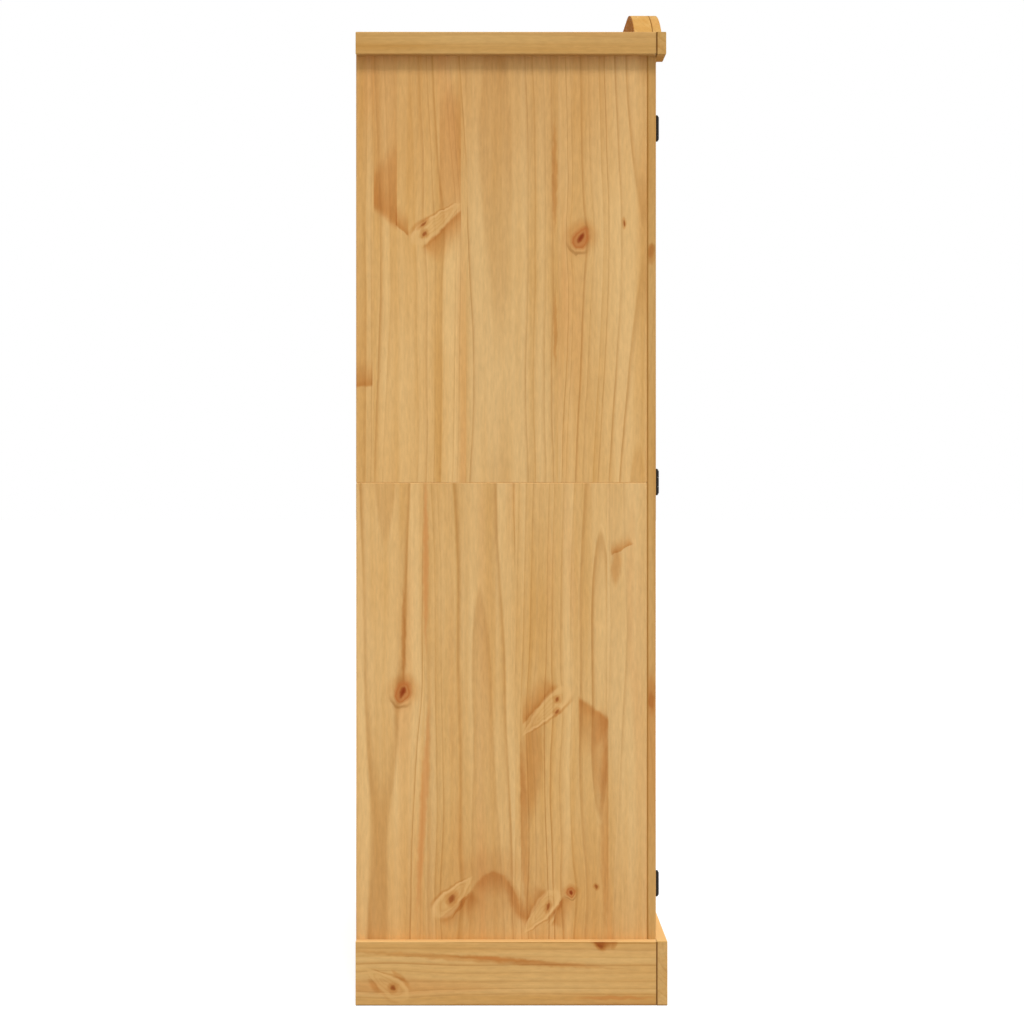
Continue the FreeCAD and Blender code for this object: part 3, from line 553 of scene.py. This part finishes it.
# %% The left side's own marks
UPPER_MARKS = (
    # Darker towards the top of the side.
    ("wash", 40, 1640, 330, 600, 0),
    # Painted shade: warms the shadow that the top strip throws on the side.
    ("wash", 20, 1592, 30, 700, 0),
    ("wash", 217, 1480, 200, 60, 0, 196, 237),
    ("flame", 217, 1318, 62, -84, -50, 196, 237),
    ("flame", 188, 1294, 34, -17, -52, 177, 200),
    ("shade", 108, 1415, 135, 34, 0, 89, 127),
    ("flame", 120, 1298, 46, -25, 46, 89, 240),
    ("shade", -67, 1385, 100, 5, 0),
    ("shade", -68, 1130, 70, 4, 0),
    ("flame", 251, 1033, 26, 27, 84, 237, 270),
    ("leaf", 132, 1306, 53, 14, 50),
    ("core", 153, 1305, 9, 2.4, 46),
    ("core", 151, 1288, 5.5, 3.4, 30),
    ("knot", -111, 1281, 20, 13, 24),
    ("core", -183, 1306, 6, 2.0, 0),
)
LOWER_MARKS = (
    # Darker towards the foot of the side.
    ("wash", 40, 0, 330, 700, 0),
    ("streak", 149, 742, 170, 6, 0),
    ("streak", 153, 325, 200, 8, 3.4),
    ("shade", 186, 610, 90, 4, 0),
    ("shade", -28, 400, 100, 22, 3, -60, -8),
    ("shade", -16, 290, 150, 8, -2, -60, -2),
    ("shade", -145, 420, 80, 18, 0, -158, -121),
    ("shade", -152, 300, 190, 10, 0, -158, -2),
    ("flame", -134, 492, 40, 44, -54, -158, -106),
    ("flame", -42, 498, 42, 20, 43, -160, -12),
    ("flame", -180, 759, 20, 12, 62, -215, -160),
    ("shade", -170, 732, 36, 10, 4, -185, -159),
    ("wash", 38, 226, 62, 40, 90),
    ("wash", 36, 182, 52, 38, 0),
    ("wash", 34, 200, 26, 30, 0),
    ("arch", 36, 153, 69, 45, 0),
    ("shade", -3, 170, 44, 12, -22),
    ("flame", 99, 164, 34, -15, 49),
    ("flame", -37, 160, 30, 16, 35),
    ("flame", -71, 155, 25, -14, 22),
    ("leaf", -53, 489, 56, 14, 224),
    ("core", -71, 508, 4.5, 3, 35),
    ("core", -71, 488, 5.5, 2.6, 40),
    ("leaf", 103, 178, 46, 15, 43),
    ("shade", 92, 160, 26, 3, 38),
    ("core", 105, 175, 9, 5, 20),
    ("leaf", -44, 153, 46, 14, 219),
    ("shade", -66, 152, 24, 3, 32),
    ("core", -56, 161, 7, 3, 15),
    ("knot", 187, 521, 19, 13, 22),
    ("knot", -94, 185, 8.5, 7.5, 0),
    ("core", -136, 195, 3.5, 2.0, 0),
)
PLINTH_MARKS = (
    ("shade", 77, 60, 240, 6, -3.8),
    ("shade", 78, 30, 90, 5, -3.8),
    ("wash", 73, -40, 110, 11, -3.8),
    ("streak", 79, 40, 32, 3.5, -4),
    ("streak", 13, -170, 75, 4, 0),
    ("shade", 50, 194, 15, 6, -40),
    ("shade", 33, 234, 16, 8, -50),
    ("leaf", 36, 212, 42, 15, -35),
    ("core", 30, 203, 6, 4, -41),
    ("shade", 107, -150, 24, 15, 0),
    ("shade", 106, -146, 19, 12, 0),
    ("shade", 104, -142, 13, 9, -20),
    ("core", 99, -143, 6, 3, -30),
    ("shade", 103, -166, 6, 12, -20),
)
STILE_MARKS = (
    ("shade", -229, 1254, 20, 9, 0),
    ("shade", -229, 1260, 14, 7, 0),
    ("shade", -229, 515, 40, 9, 0),
    ("shade", -229, 506, 16, 7, 0),
)
print("marks:", len(UPPER_MARKS + LOWER_MARKS + PLINTH_MARKS + STILE_MARKS))

# %% [markdown]
# Now the pine goes on. Panels are glued up from boards about 150 mm wide. The door panels and the back are
# matchboards, so there the board width is the real one and every board has its own grain. The inside is plainer
# wood with fewer knots, as a joiner would choose it. A few pieces need more: those that the camera sees have
# marks, and lines of painted shade and painted highlight where they meet the next piece, along the floor and on
# edges that face the light.

# %% Dress the pine
slot_of = {part["node"]: part["material_slot"] for part in frame["record"]["subparts"]}
PANEL_BOARDS = 3
BACK_BOARDS = 9
BOARD_TONGUE = 0.006
STAVE = 0.154            # the width of a board of the glued sides
UPPER_EDGE = 0.081       # where two of them meet
LOWER_EDGE = -0.001


def matchboard_width(node, boards):
    low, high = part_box(node)
    return (high.x - low.x - BOARD_TONGUE) / boards


# Joints, in millimetres of the frame, and the painted shade and painted highlight laid along them.
SEAM_LEVEL = 871.0       # between the upper and the lower panel of a side
FACE_LINE = -236.6       # the face of the frame, where the crest and the plinth front begin
STILE_LINE = -222.6      # between a side and its stile
FOOT_LINE = 0.6          # just above the floor
SHOULDER = 107.0         # the eased top edge of the plinth's side board
CREST_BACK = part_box("crest_backing")[1].y / MILLIMETRE
PLINTH_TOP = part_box("plinth_front")[1].z / MILLIMETRE
# Painted shade in the joints and along the floor.
JOINT_SHADE = tint(112, 66, 18)
# A lighter painted shade in the joint between a side and its stile.
FRAME_JOINT_SHADE = tint(174, 121, 51)
# Painted highlights over the seam's groove, from below and from above, where its rounded edge faces down and falls
# dark.
SEAM_HIGHLIGHT = tint(232, 190, 130)
SEAM_HIGHLIGHT_ABOVE = tint(250, 207, 138)
# A painted highlight along the top edge of the plinth front, which faces the light.
SUNLIT = tint(230, 183, 105)
# Painted shade on the back face of the crest, which is turned from the light.
CREST_BACK_SHADE = tint(172, 114, 58)
# Painted shade in the joints at the face of the frame.
face_shade = ("y", FACE_LINE, 1.3, JOINT_SHADE)
wide_face_shade = ("y", FACE_LINE, 1.6, JOINT_SHADE)
# A painted contact shadow along the foot, just above the floor.
foot_shadow = ("z", FOOT_LINE, 1.0, JOINT_SHADE)

SPECIAL = {
    # The seam of the side: painted highlight that evens out the shade of its groove.
    "side_left_upper": dict(board_width=STAVE, edge=UPPER_EDGE, knots=0.0, marks=UPPER_MARKS,
                            joints=(("z", SEAM_LEVEL, 0.9, SEAM_HIGHLIGHT_ABOVE),)),
    "side_left_lower": dict(board_width=STAVE, edge=LOWER_EDGE, knots=0.0, marks=LOWER_MARKS,
                            joints=(("z", SEAM_LEVEL, 0.4, SEAM_HIGHLIGHT),)),
    "side_right_upper": dict(board_width=STAVE, edge=LOWER_EDGE),
    "side_right_lower": dict(board_width=STAVE, edge=UPPER_EDGE),
    # The plinth side: painted shadow at the foot, painted shade at the face joint, and a painted highlight on its
    # top edge, which faces the light.
    "plinth_left": dict(knots=0.0, tone=0.905, marks=PLINTH_MARKS,
                        joints=(foot_shadow, face_shade, ("z", SHOULDER, 1.0, PALE_RIM_AND_HIGHLIGHT))),
    # The stile: painted shade in its joint with the side.
    "face_stile_left": dict(knots=0.0, tone=0.87, marks=STILE_MARKS, marked="y",
                            joints=(("y", STILE_LINE, 1.3, FRAME_JOINT_SHADE),)),
    "top_strip_left": dict(tone=0.815, contrast=0.6, joints=(face_shade,)),
    "top_strip_right": dict(tone=0.815, contrast=0.6, joints=(face_shade,)),
    # The crest: painted shade on the back face of its backing.
    "crest_backing": dict(tone=0.78, contrast=0.6, gloss=0.02,
                          joints=(("y", CREST_BACK, 1.0, CREST_BACK_SHADE),)),
    "crest_board": dict(tone=0.82, contrast=0.45, gloss=0.02, joints=(wide_face_shade,)),
    # The plinth front: painted shade at the face joint and at the foot, and a painted highlight on its top edge.
    "plinth_front": dict(tone=0.87, contrast=0.45,
                         joints=(wide_face_shade, foot_shadow, ("z", PLINTH_TOP, 1.0, SUNLIT))),
    "top_board": dict(tone=0.86),
    "back_boards": dict(board_width=matchboard_width("back_boards", BACK_BOARDS)),
}
for side in ("left", "right"):
    for level in ("upper", "lower"):
        panel = f"door_{side}_{level}_panel"
        SPECIAL[panel] = dict(board_width=matchboard_width(panel, PANEL_BOARDS), knots=0.4)


def put_on(node, material):
    """Give a piece's object one material."""
    frame["nodes"][node].material_slots[0].material = material


SEED_STEP = 3.7          # far enough for every piece to get noise of its own
pine_nodes = sorted(node for node, slot in slot_of.items() if slot.startswith("pine"))
for number, node in enumerate(pine_nodes):
    put_on(node, pine(node, seed=SEED_STEP * number + 1.0, **SPECIAL.get(node, {})))
print("pieces of pine:", len(pine_nodes))

# %% [markdown]
# The fittings are few. The hinges and knobs are iron under black satin lacquer, which never lies quite
# even: a slow noise changes its roughness, and a fine one gives the skin a grain. The hanging rail and
# the strikes are bright zinc, brushed lengthwise. The catches are brown moulded plastic and the dowels
# plain beech.

# %% Dress the fittings
SKIN_STRENGTH = 0.4
SKIN_HEIGHT = 0.0001
FINER = 14.0             # times that the fine noise is finer than the slow one


def finish_material(name, colour, other, roughness, metallic=0.0, blob=30.0, stretch=(1, 1, 1),
                    gloss=0.5):
    """A finish whose colour and roughness wander between two states."""
    material, tree, surface = new_material(name)
    spots = [wire * blob * factor for wire, factor in zip(coordinates(tree), stretch)]
    broad = noise(tree, point(tree, *spots), 3.0)
    fine = noise(tree, point(tree, *(spot * FINER for spot in spots)), 2.0)
    feed(tree, blend(tree, (broad * 2.0 + fine + 0.5), colour, other), surface.inputs["Base Color"])
    feed(tree, broad * 0.25 + fine * 0.15 + roughness, surface.inputs["Roughness"])
    surface.inputs["Metallic"].default_value = metallic
    surface.inputs["Specular IOR Level"].default_value = gloss
    add_relief(tree, surface, fine + broad * 0.6, SKIN_STRENGTH, SKIN_HEIGHT)
    return material


BLACK_IRON = finish_material("black_iron", tint(14, 10, 8), tint(26, 21, 17), 0.42, blob=60.0, gloss=0.2)
ZINC = finish_material("zinc_steel", tint(160, 162, 165), tint(128, 131, 136), 0.36, metallic=1.0,
                       blob=40.0, stretch=(0.05, 1, 1))
CATCH = finish_material("catch_plastic", tint(96, 66, 42), tint(84, 57, 36), 0.5)
BEECH = finish_material("beech_dowel", tint(214, 180, 136), tint(190, 152, 108), 0.55, blob=120.0,
                        stretch=(1, 1, 0.05))
FINISHES = {"black_iron": BLACK_IRON, "zinc_steel": ZINC, "catch_plastic": CATCH, "beech_dowel": BEECH}
for node, slot in slot_of.items():
    if slot in FINISHES:
        put_on(node, FINISHES[slot])
print("finishes:", ", ".join(FINISHES))

# %% [markdown]
# Screws repeat, so Geometry Nodes place them. The tree takes a cloud of points, each with the way that its screw
# faces stored as an attribute, and puts one head on each. A countersunk head is driven until it is flush, so each
# is a thin disc, a tenth of a millimetre proud, with a cross cut through it and a dark disc below, which is
# painted shade standing for the deep, shaded bottom of the cross. Realize Instances turns the copies into real
# faces, because an export drops instances.

# %% The screw tree
HEAD_SIDES = 20
HEAD_RADIUS = 0.0029
HEAD_TAPER = 0.97        # the top of a head against its foot
HEAD_PROUD = 0.0001
CROSS_WIDTH = 0.0009
CROSS_LENGTH = 1.2       # of the radius, as is the dark disc below
DISC_RADIUS = 0.8
SPIN_SEED = 4


def add_node(tree, kind, **values):
    """A node with some of its inputs set by name. A socket is linked."""
    made = tree.nodes.new(kind)
    for name, value in values.items():
        socket = made.inputs[name.replace("_", " ")]
        if isinstance(value, bpy.types.NodeSocket):
            tree.links.new(value, socket)
        else:
            socket.default_value = value
    return made


def start_tree(name, lengths, finishes):
    """A tree that takes points, some lengths and some finishes, with its first and last node."""
    tree = bpy.data.node_groups.new(name, "GeometryNodeTree")
    for way in ("INPUT", "OUTPUT"):
        tree.interface.new_socket("Geometry", in_out=way, socket_type="NodeSocketGeometry")
    for label, length in lengths.items():
        socket = tree.interface.new_socket(label, in_out="INPUT", socket_type="NodeSocketFloat")
        socket.default_value = length
    for label in finishes:
        tree.interface.new_socket(label, in_out="INPUT", socket_type="NodeSocketMaterial")
    return tree, tree.nodes.new("NodeGroupInput"), tree.nodes.new("NodeGroupOutput")


def copy_to_points(tree, entry, leave, geometry, **turned):
    """The end of such a tree: one copy on each point, made into real faces."""
    copies = add_node(tree, "GeometryNodeInstanceOnPoints", Points=entry.outputs["Geometry"],
                      Instance=geometry, **turned)
    real = add_node(tree, "GeometryNodeRealizeInstances", Geometry=copies.outputs["Instances"])
    tree.links.new(real.outputs["Geometry"], leave.inputs[0])


def screw_tree():
    lengths = {"Radius": HEAD_RADIUS, "Proud": HEAD_PROUD, "Cross width": CROSS_WIDTH}
    tree, entry, leave = start_tree("screw_heads", lengths, ("Finish", "Recess"))
    radius, proud, width = [Wire(tree, entry.outputs[label]) for label in lengths]

    # The head stands on the surface, and the bars that cut it are taller than it is.
    head = add_node(tree, "GeometryNodeMeshCone", Vertices=HEAD_SIDES, Radius_Bottom=radius.socket,
                    Radius_Top=(radius * HEAD_TAPER).socket, Depth=proud.socket)
    cut = tree.nodes.new("GeometryNodeMeshBoolean")
    cut.operation = "DIFFERENCE"
    tree.links.new(head.outputs["Mesh"], cut.inputs["Mesh 1"])
    for long_side, short_side in ((radius * CROSS_LENGTH, width), (width, radius * CROSS_LENGTH)):
        size = point(tree, long_side, short_side, proud * 4.0)
        bar = add_node(tree, "GeometryNodeMeshCube", Size=size.socket)
        tree.links.new(bar.outputs["Mesh"], cut.inputs["Mesh 2"])
    finished = add_node(tree, "GeometryNodeSetMaterial", Geometry=cut.outputs["Mesh"],
                        Material=entry.outputs["Finish"])
    disc = add_node(tree, "GeometryNodeMeshCircle", Vertices=HEAD_SIDES,
                    Radius=(radius * DISC_RADIUS).socket)
    disc.fill_type = "NGON"
    sunk = add_node(tree, "GeometryNodeTransform", Geometry=disc.outputs["Mesh"],
                    Translation=point(tree, 0.0, 0.0, proud * 0.3).socket)
    dark = add_node(tree, "GeometryNodeSetMaterial", Geometry=sunk.outputs["Geometry"],
                    Material=entry.outputs["Recess"])
    screw = tree.nodes.new("GeometryNodeJoinGeometry")
    tree.links.new(finished.outputs["Geometry"], screw.inputs[0])
    tree.links.new(dark.outputs["Geometry"], screw.inputs[0])

    # Each head turns to face its own way, and then by a chance angle round its middle.
    facing = tree.nodes.new("GeometryNodeInputNamedAttribute")
    facing.data_type = "FLOAT_VECTOR"
    facing.inputs["Name"].default_value = "facing"
    turn = tree.nodes.new("FunctionNodeAlignRotationToVector")
    turn.axis = "Z"
    tree.links.new(facing.outputs["Attribute"], turn.inputs["Vector"])
    spin = add_node(tree, "FunctionNodeRandomValue", Seed=SPIN_SEED)
    spun = tree.nodes.new("FunctionNodeRotateRotation")
    spun.rotation_space = "LOCAL"
    tree.links.new(turn.outputs[0], spun.inputs[0])
    angle = point(tree, 0.0, 0.0, Wire(tree, spin.outputs[1]) * math.pi)
    tree.links.new(angle.socket, spun.inputs[1])
    copy_to_points(tree, entry, leave, screw.outputs["Geometry"], Rotation=spun.outputs[0])
    return tree


SCREWS = screw_tree()
# Painted shade: a near-black disc that stands for the shaded bottom of every screw's cross, iron and zinc alike.
RECESS_SHADE = finish_material("screw_recess_shade", tint(22, 20, 18), tint(34, 31, 28), 0.7)
print("screw tree:", len(SCREWS.nodes), "nodes")

# %% [markdown]
# The tree runs on a mesh that is nothing but points. The result is copied into a plain mesh and the
# modifier goes, so the finished piece holds no recipe, just faces. One object per moving body keeps
# each screw on the piece that it holds. Whatever else repeats can be placed in the same way.

# %% Screws and other copies
def add_object(name, data):
    """An object that stands in the scene."""
    made = bpy.data.objects.new(name, data)
    bpy.context.scene.collection.objects.link(made)
    return made


def place_copies(name, body, slot, places, recipe, **values):
    """What a tree makes of places, each a spot on a surface and the way that the surface faces.
    The values are the tree's own inputs by name."""
    cloud = bpy.data.meshes.new(name + "_points")
    cloud.from_pydata([spot for spot, _ in places], [], [])
    facing = cloud.attributes.new("facing", "FLOAT_VECTOR", "POINT")
    for item, (_, direction) in zip(facing.data, places):
        item.vector = direction
    seed = add_object(name + "_points", cloud)
    modifier = seed.modifiers.new("copies", "NODES")
    modifier.node_group = recipe
    for item in recipe.interface.items_tree:
        if item.in_out == "INPUT" and item.name in values:
            modifier[item.identifier] = values[item.name]
    result = seed.evaluated_get(bpy.context.evaluated_depsgraph_get())
    mesh = bpy.data.meshes.new_from_object(result)
    bpy.data.objects.remove(seed)
    copies = add_object(name, mesh)
    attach(copies, body)
    print(name + ":", len(places), "places,", len(mesh.polygons), "faces")


def drive_screws(name, body, slot, places, finish, radius=HEAD_RADIUS):
    place_copies(name, body, slot, places, SCREWS, Radius=radius, Finish=finish, Recess=RECESS_SHADE)


LEFT, RIGHT = Vector((-1, 0, 0)), Vector((1, 0, 0))
FRONT, BACK = Vector((0, -1, 0)), Vector((0, 1, 0))
DOWN = Vector((0, 0, -1))

# %% [markdown]
# Now the places. Nothing is measured twice: hinge pins, plates and boards are read from the frame, and
# only what a screw adds, such as how far it sits from the middle of a leaf, is a number here. When a
# door is shut, the screws of its two leaves face each other across 0.3 mm, so each head may stand out
# by a tenth of a millimetre and no more.

# %% Places for the screws
LEAF_HALF = 0.019        # half the height of a leaf
LEAF_SCREW = 0.012       # from the middle of a leaf to a screw, up and down
LEAF_GAP = 0.00015       # from the hinge line to the face of a leaf
SOCKET_SCREW = 0.019     # from the middle of a socket, up and down
SOCKET_REACH = 0.003     # how far a socket stands off the side
CATCH_SCREW = 0.015      # from the middle of a catch to a screw
CATCH_SHARE = 22 / 140   # of the width over both catches, from an end to the middle of one
STRIKE_SCREW = 0.012     # from the middle of a strike to a screw
PLATE_SCREW = 0.0185     # from the middle of a knob plate to a screw
FIXING_LEVELS = (0.07, 1.324, 1.536)    # where the back boards are screwed on
BOARD_SCREW = 0.022      # from the edge of a back board
PLATE_HEAD_RADIUS = 0.0022
SMALL_HEAD_RADIUS = 0.002

hinges = {joint["child"]: Vector(joint["pos_m"]) for joint in frame["joints"]}
leaves_low, leaves_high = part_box("frame_leaves_left")
hinge_levels = (leaves_low.z + LEAF_HALF, hinges["door_left"].z, leaves_high.z - LEAF_HALF)
leaf_y = (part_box("face_stile_left")[0].y + leaves_high.y) / 2

for side, outward in (("left", LEFT), ("right", RIGHT)):
    door = "door_" + side
    hinge_x = hinges[door].x
    for body, facing, name in (("carcass", -outward, "frame_leaf_screws_"),
                               (door, outward, "door_leaf_screws_")):
        leaf_x = hinge_x - facing.x * LEAF_GAP
        places = [((leaf_x, leaf_y, level + step), facing)
                  for level in hinge_levels for step in (-LEAF_SCREW, LEAF_SCREW)]
        drive_screws(name + side, body, "black_iron", places, BLACK_IRON)
    low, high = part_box(door + "_knob_plate")
    centre = (low + high) / 2
    corners = [(math.cos(turn) * PLATE_SCREW, math.sin(turn) * PLATE_SCREW)
               for turn in (0.0, math.pi / 2, math.pi, math.pi * 1.5)]
    places = [((centre.x + dx, low.y, centre.z + dz), FRONT) for dx, dz in corners]
    drive_screws(door + "_plate_screws", door, "black_iron", places, BLACK_IRON,
                 radius=PLATE_HEAD_RADIUS)
    low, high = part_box(door + "_strike")
    centre = (low + high) / 2
    places = [((centre.x + dx, high.y, centre.z), BACK) for dx in (-STRIKE_SCREW, STRIKE_SCREW)]
    drive_screws(door + "_strike_screws", door, "zinc_steel", places, ZINC,
                 radius=SMALL_HEAD_RADIUS)

low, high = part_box("rail_sockets")
centre = (low + high) / 2
places = [((x, centre.y, centre.z + step), facing)
          for x, facing in ((low.x + SOCKET_REACH, RIGHT), (high.x - SOCKET_REACH, LEFT))
          for step in (-SOCKET_SCREW, SOCKET_SCREW)]
drive_screws("socket_screws", "carcass", "zinc_steel", places, ZINC)

low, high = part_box("door_catches")
catch_x = high.x - (high.x - low.x) * CATCH_SHARE
places = [((sign * catch_x + step, (low.y + high.y) / 2, low.z), DOWN)
          for sign in (-1, 1) for step in (-CATCH_SCREW, CATCH_SCREW)]
drive_screws("catch_screws", "carcass", "zinc_steel", places, ZINC, radius=SMALL_HEAD_RADIUS)

low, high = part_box("back_boards")
pitch = matchboard_width("back_boards", BACK_BOARDS)
places = [((low.x + pitch * number + inset, high.y, level), BACK)
          for number in range(BACK_BOARDS) for inset in (BOARD_SCREW, pitch - BOARD_SCREW)
          for level in FIXING_LEVELS]
drive_screws("back_board_screws", "carcass", "zinc_steel", places, ZINC)

# %% [markdown]
# Each hinge pin ends in a small ball above and below its barrel. The balls keep to the pin's own line,
# nearer to it than any door comes, so they are always clear. They get a tree of their own, much
# simpler than that of the screws.

# %% Ball ends of the hinge pins
BALL_RADIUS = 0.0031
BALL_SUNK = 0.0026       # how deep a ball sits in the end of the barrel
BALL_SEGMENTS = 24
BALL_RINGS = 14


def ball_tree():
    tree, entry, leave = start_tree("pin_balls", {"Radius": BALL_RADIUS}, ("Finish",))
    ball = add_node(tree, "GeometryNodeMeshUVSphere", Segments=BALL_SEGMENTS, Rings=BALL_RINGS,
                    Radius=entry.outputs["Radius"])
    smooth = add_node(tree, "GeometryNodeSetShadeSmooth", Geometry=ball.outputs["Mesh"])
    finished = add_node(tree, "GeometryNodeSetMaterial", Geometry=smooth.outputs["Geometry"],
                        Material=entry.outputs["Finish"])
    copy_to_points(tree, entry, leave, finished.outputs["Geometry"])
    return tree


BALLS = ball_tree()
ball_lift = LEAF_HALF + BALL_RADIUS - BALL_SUNK
for side in ("left", "right"):
    line = hinges["door_" + side]
    places = [((line.x, line.y, level + step), FRONT)
              for level in hinge_levels for step in (-ball_lift, ball_lift)]
    place_copies("pin_balls_" + side, "carcass", "black_iron", places, BALLS,
                 Radius=BALL_RADIUS, Finish=BLACK_IRON)

# %% [markdown]
# A catalogue picture stands on white. The floor is pale and plain and still keeps the shadow under the
# plinth. The camera sees a white world, while everything else is lit by a dimmer one, so that the wax
# doesn't glare.

# %% Floor and backdrop
FLOOR_HALF = 30.0
FLOOR_GLOW = 0.66        # how white the floor is by itself, under the wardrobe
FLOOR_NEAR = 0.7         # from here it grows whiter
FLOOR_FAR = 2.4          # and here it is one with the backdrop
FLOOR_PAINT = 0.43
WORLD_FRONT = 0.9        # light from the front and from the back
WORLD_BACK = 0.56


def seen_rays(tree):
    """1 for what the camera sees, also mirrored or through glass, and 0 for light on its way."""
    rays = tree.nodes.new("ShaderNodeLightPath")
    straight, mirrored, through = [Wire(tree, rays.outputs[name]) for name in
                                   ("Is Camera Ray", "Is Glossy Ray", "Is Transmission Ray")]
    return straight + mirrored + through


floor_mesh = bpy.data.meshes.new("floor")
corners = [(-FLOOR_HALF, -FLOOR_HALF, 0), (FLOOR_HALF, -FLOOR_HALF, 0),
           (FLOOR_HALF, FLOOR_HALF, 0), (-FLOOR_HALF, FLOOR_HALF, 0)]
floor_mesh.from_pydata(corners, [], [(0, 1, 2, 3)])
floor = add_object("floor", floor_mesh)
floor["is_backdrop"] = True
paint, tree, surface = new_material("floor_paint")
surface.inputs["Base Color"].default_value = (FLOOR_PAINT, FLOOR_PAINT, FLOOR_PAINT, 1)
surface.inputs["Roughness"].default_value = 1.0
surface.inputs["Specular IOR Level"].default_value = 0.0
surface.inputs["Emission Color"].default_value = (1, 1, 1, 1)
floor_x, floor_y, _ = coordinates(tree)
away = (floor_x ** 2 + floor_y ** 2).root()
glow = seen_rays(tree) * away.ease(FLOOR_NEAR, FLOOR_FAR, FLOOR_GLOW, 1.0)
feed(tree, glow, surface.inputs["Emission Strength"])
floor_mesh.materials.append(paint)

world = bpy.data.worlds.new("studio")
bpy.context.scene.world = world
world.use_nodes = True
tree = world.node_tree
backdrop = tree.nodes["Background"]
_, from_front, _ = coordinates(tree, "Generated")
fill = from_front.ease(-1.0, 1.0, WORLD_FRONT, WORLD_BACK)
feed(tree, blend(tree, seen_rays(tree), point(tree, fill, fill, fill), (1, 1, 1, 1)),
     backdrop.inputs["Color"])
backdrop.inputs["Strength"].default_value = 1.0
print("floor:", FLOOR_HALF * 2, "metres square, one with the backdrop from", FLOOR_FAR)

# %% [markdown]
# In the photograph the light comes from high up: the edge strip under the top throws a soft shadow a
# few centimetres long on the side, and the top of the plinth board is bright. A broad, distant
# light stands high on the camera's side, so that it is as strong at the foot as at the top, and weak
# soft boxes on the other sides keep those readable.

# %% Lights
def look_along(holder, way):
    """Turn a lamp or a camera so that it looks along a direction."""
    holder.rotation_euler = way.to_track_quat("-Z", "Y").to_euler()


KEY_STRENGTH = 2.0
KEY_HEIGHT = 60.0        # degrees above the floor
KEY_SWING = 6.0          # degrees round from square, towards the front
KEY_SPREAD = 13.0        # degrees across, for a soft edge
MIDDLE_OF_OBJECT = Vector((0, 0, 0.85))
FILL_SIZE = 2.5
FILLS = {                # where each soft box stands, and its watts
    "front_fill": ((0.8, -5.0, 3.4), 60),
    "back_fill": ((0.5, 5.0, 3.4), 30),
    "right_fill": ((5.0, 0.2, 3.4), 50),
}

key = bpy.data.lights.new("key", "SUN")
key.energy = KEY_STRENGTH
key.angle = math.radians(KEY_SPREAD)
key_height, key_swing = math.radians(KEY_HEIGHT), math.radians(KEY_SWING)
flat = math.cos(key_height)
look_along(add_object("key", key), Vector((flat * math.cos(key_swing), flat * math.sin(key_swing),
                                           -math.sin(key_height))))
for name, (place, watts) in FILLS.items():
    lamp = bpy.data.lights.new(name, "AREA")
    lamp.shape = "SQUARE"
    lamp.size = FILL_SIZE
    lamp.energy = watts
    holder = add_object(name, lamp)
    holder.location = place
    look_along(holder, MIDDLE_OF_OBJECT - Vector(place))
print("lights: key,", ", ".join(FILLS))

# %% [markdown]
# The camera's place was solved from the edges in the photograph: how fast the top board, the plinth and
# the hinges shrink with distance gives how far away it stood, and their heights give the height of the
# lens, a little above the middle of the wardrobe. It looks level and almost square at the side.

# %% Camera
CAMERA_PLACE = (-4.24466, 0.05571, 0.90814)
CAMERA_YAW = -0.00262    # towards the front
CAMERA_PITCH = -0.00095
LENS = 79.863            # millimetres, on a full-frame sensor
SENSOR = 36
SHIFT = (0.02405, -0.048)
CLIP_END = 200

camera_data = bpy.data.cameras.new("camera")
camera_data.sensor_width = SENSOR
camera_data.lens = LENS
camera_data.shift_x, camera_data.shift_y = SHIFT
camera_data.clip_end = CLIP_END
camera = add_object("camera", camera_data)
camera.location = CAMERA_PLACE
look_along(camera, Vector((math.cos(CAMERA_PITCH) * math.cos(CAMERA_YAW), math.sin(CAMERA_YAW),
                           math.sin(CAMERA_PITCH))))
bpy.context.scene.camera = camera
bpy.context.scene.view_settings.view_transform = "Standard"
print("camera:", CAMERA_PLACE, "lens", LENS)

# %% [markdown]
# Last, the size of the dressed wardrobe is printed. Finishing may add no more than the thickness of a
# screw head.

# %% Finish
low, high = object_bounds()
print("dressed, metres:", [round(side, 4) for side in high - low])
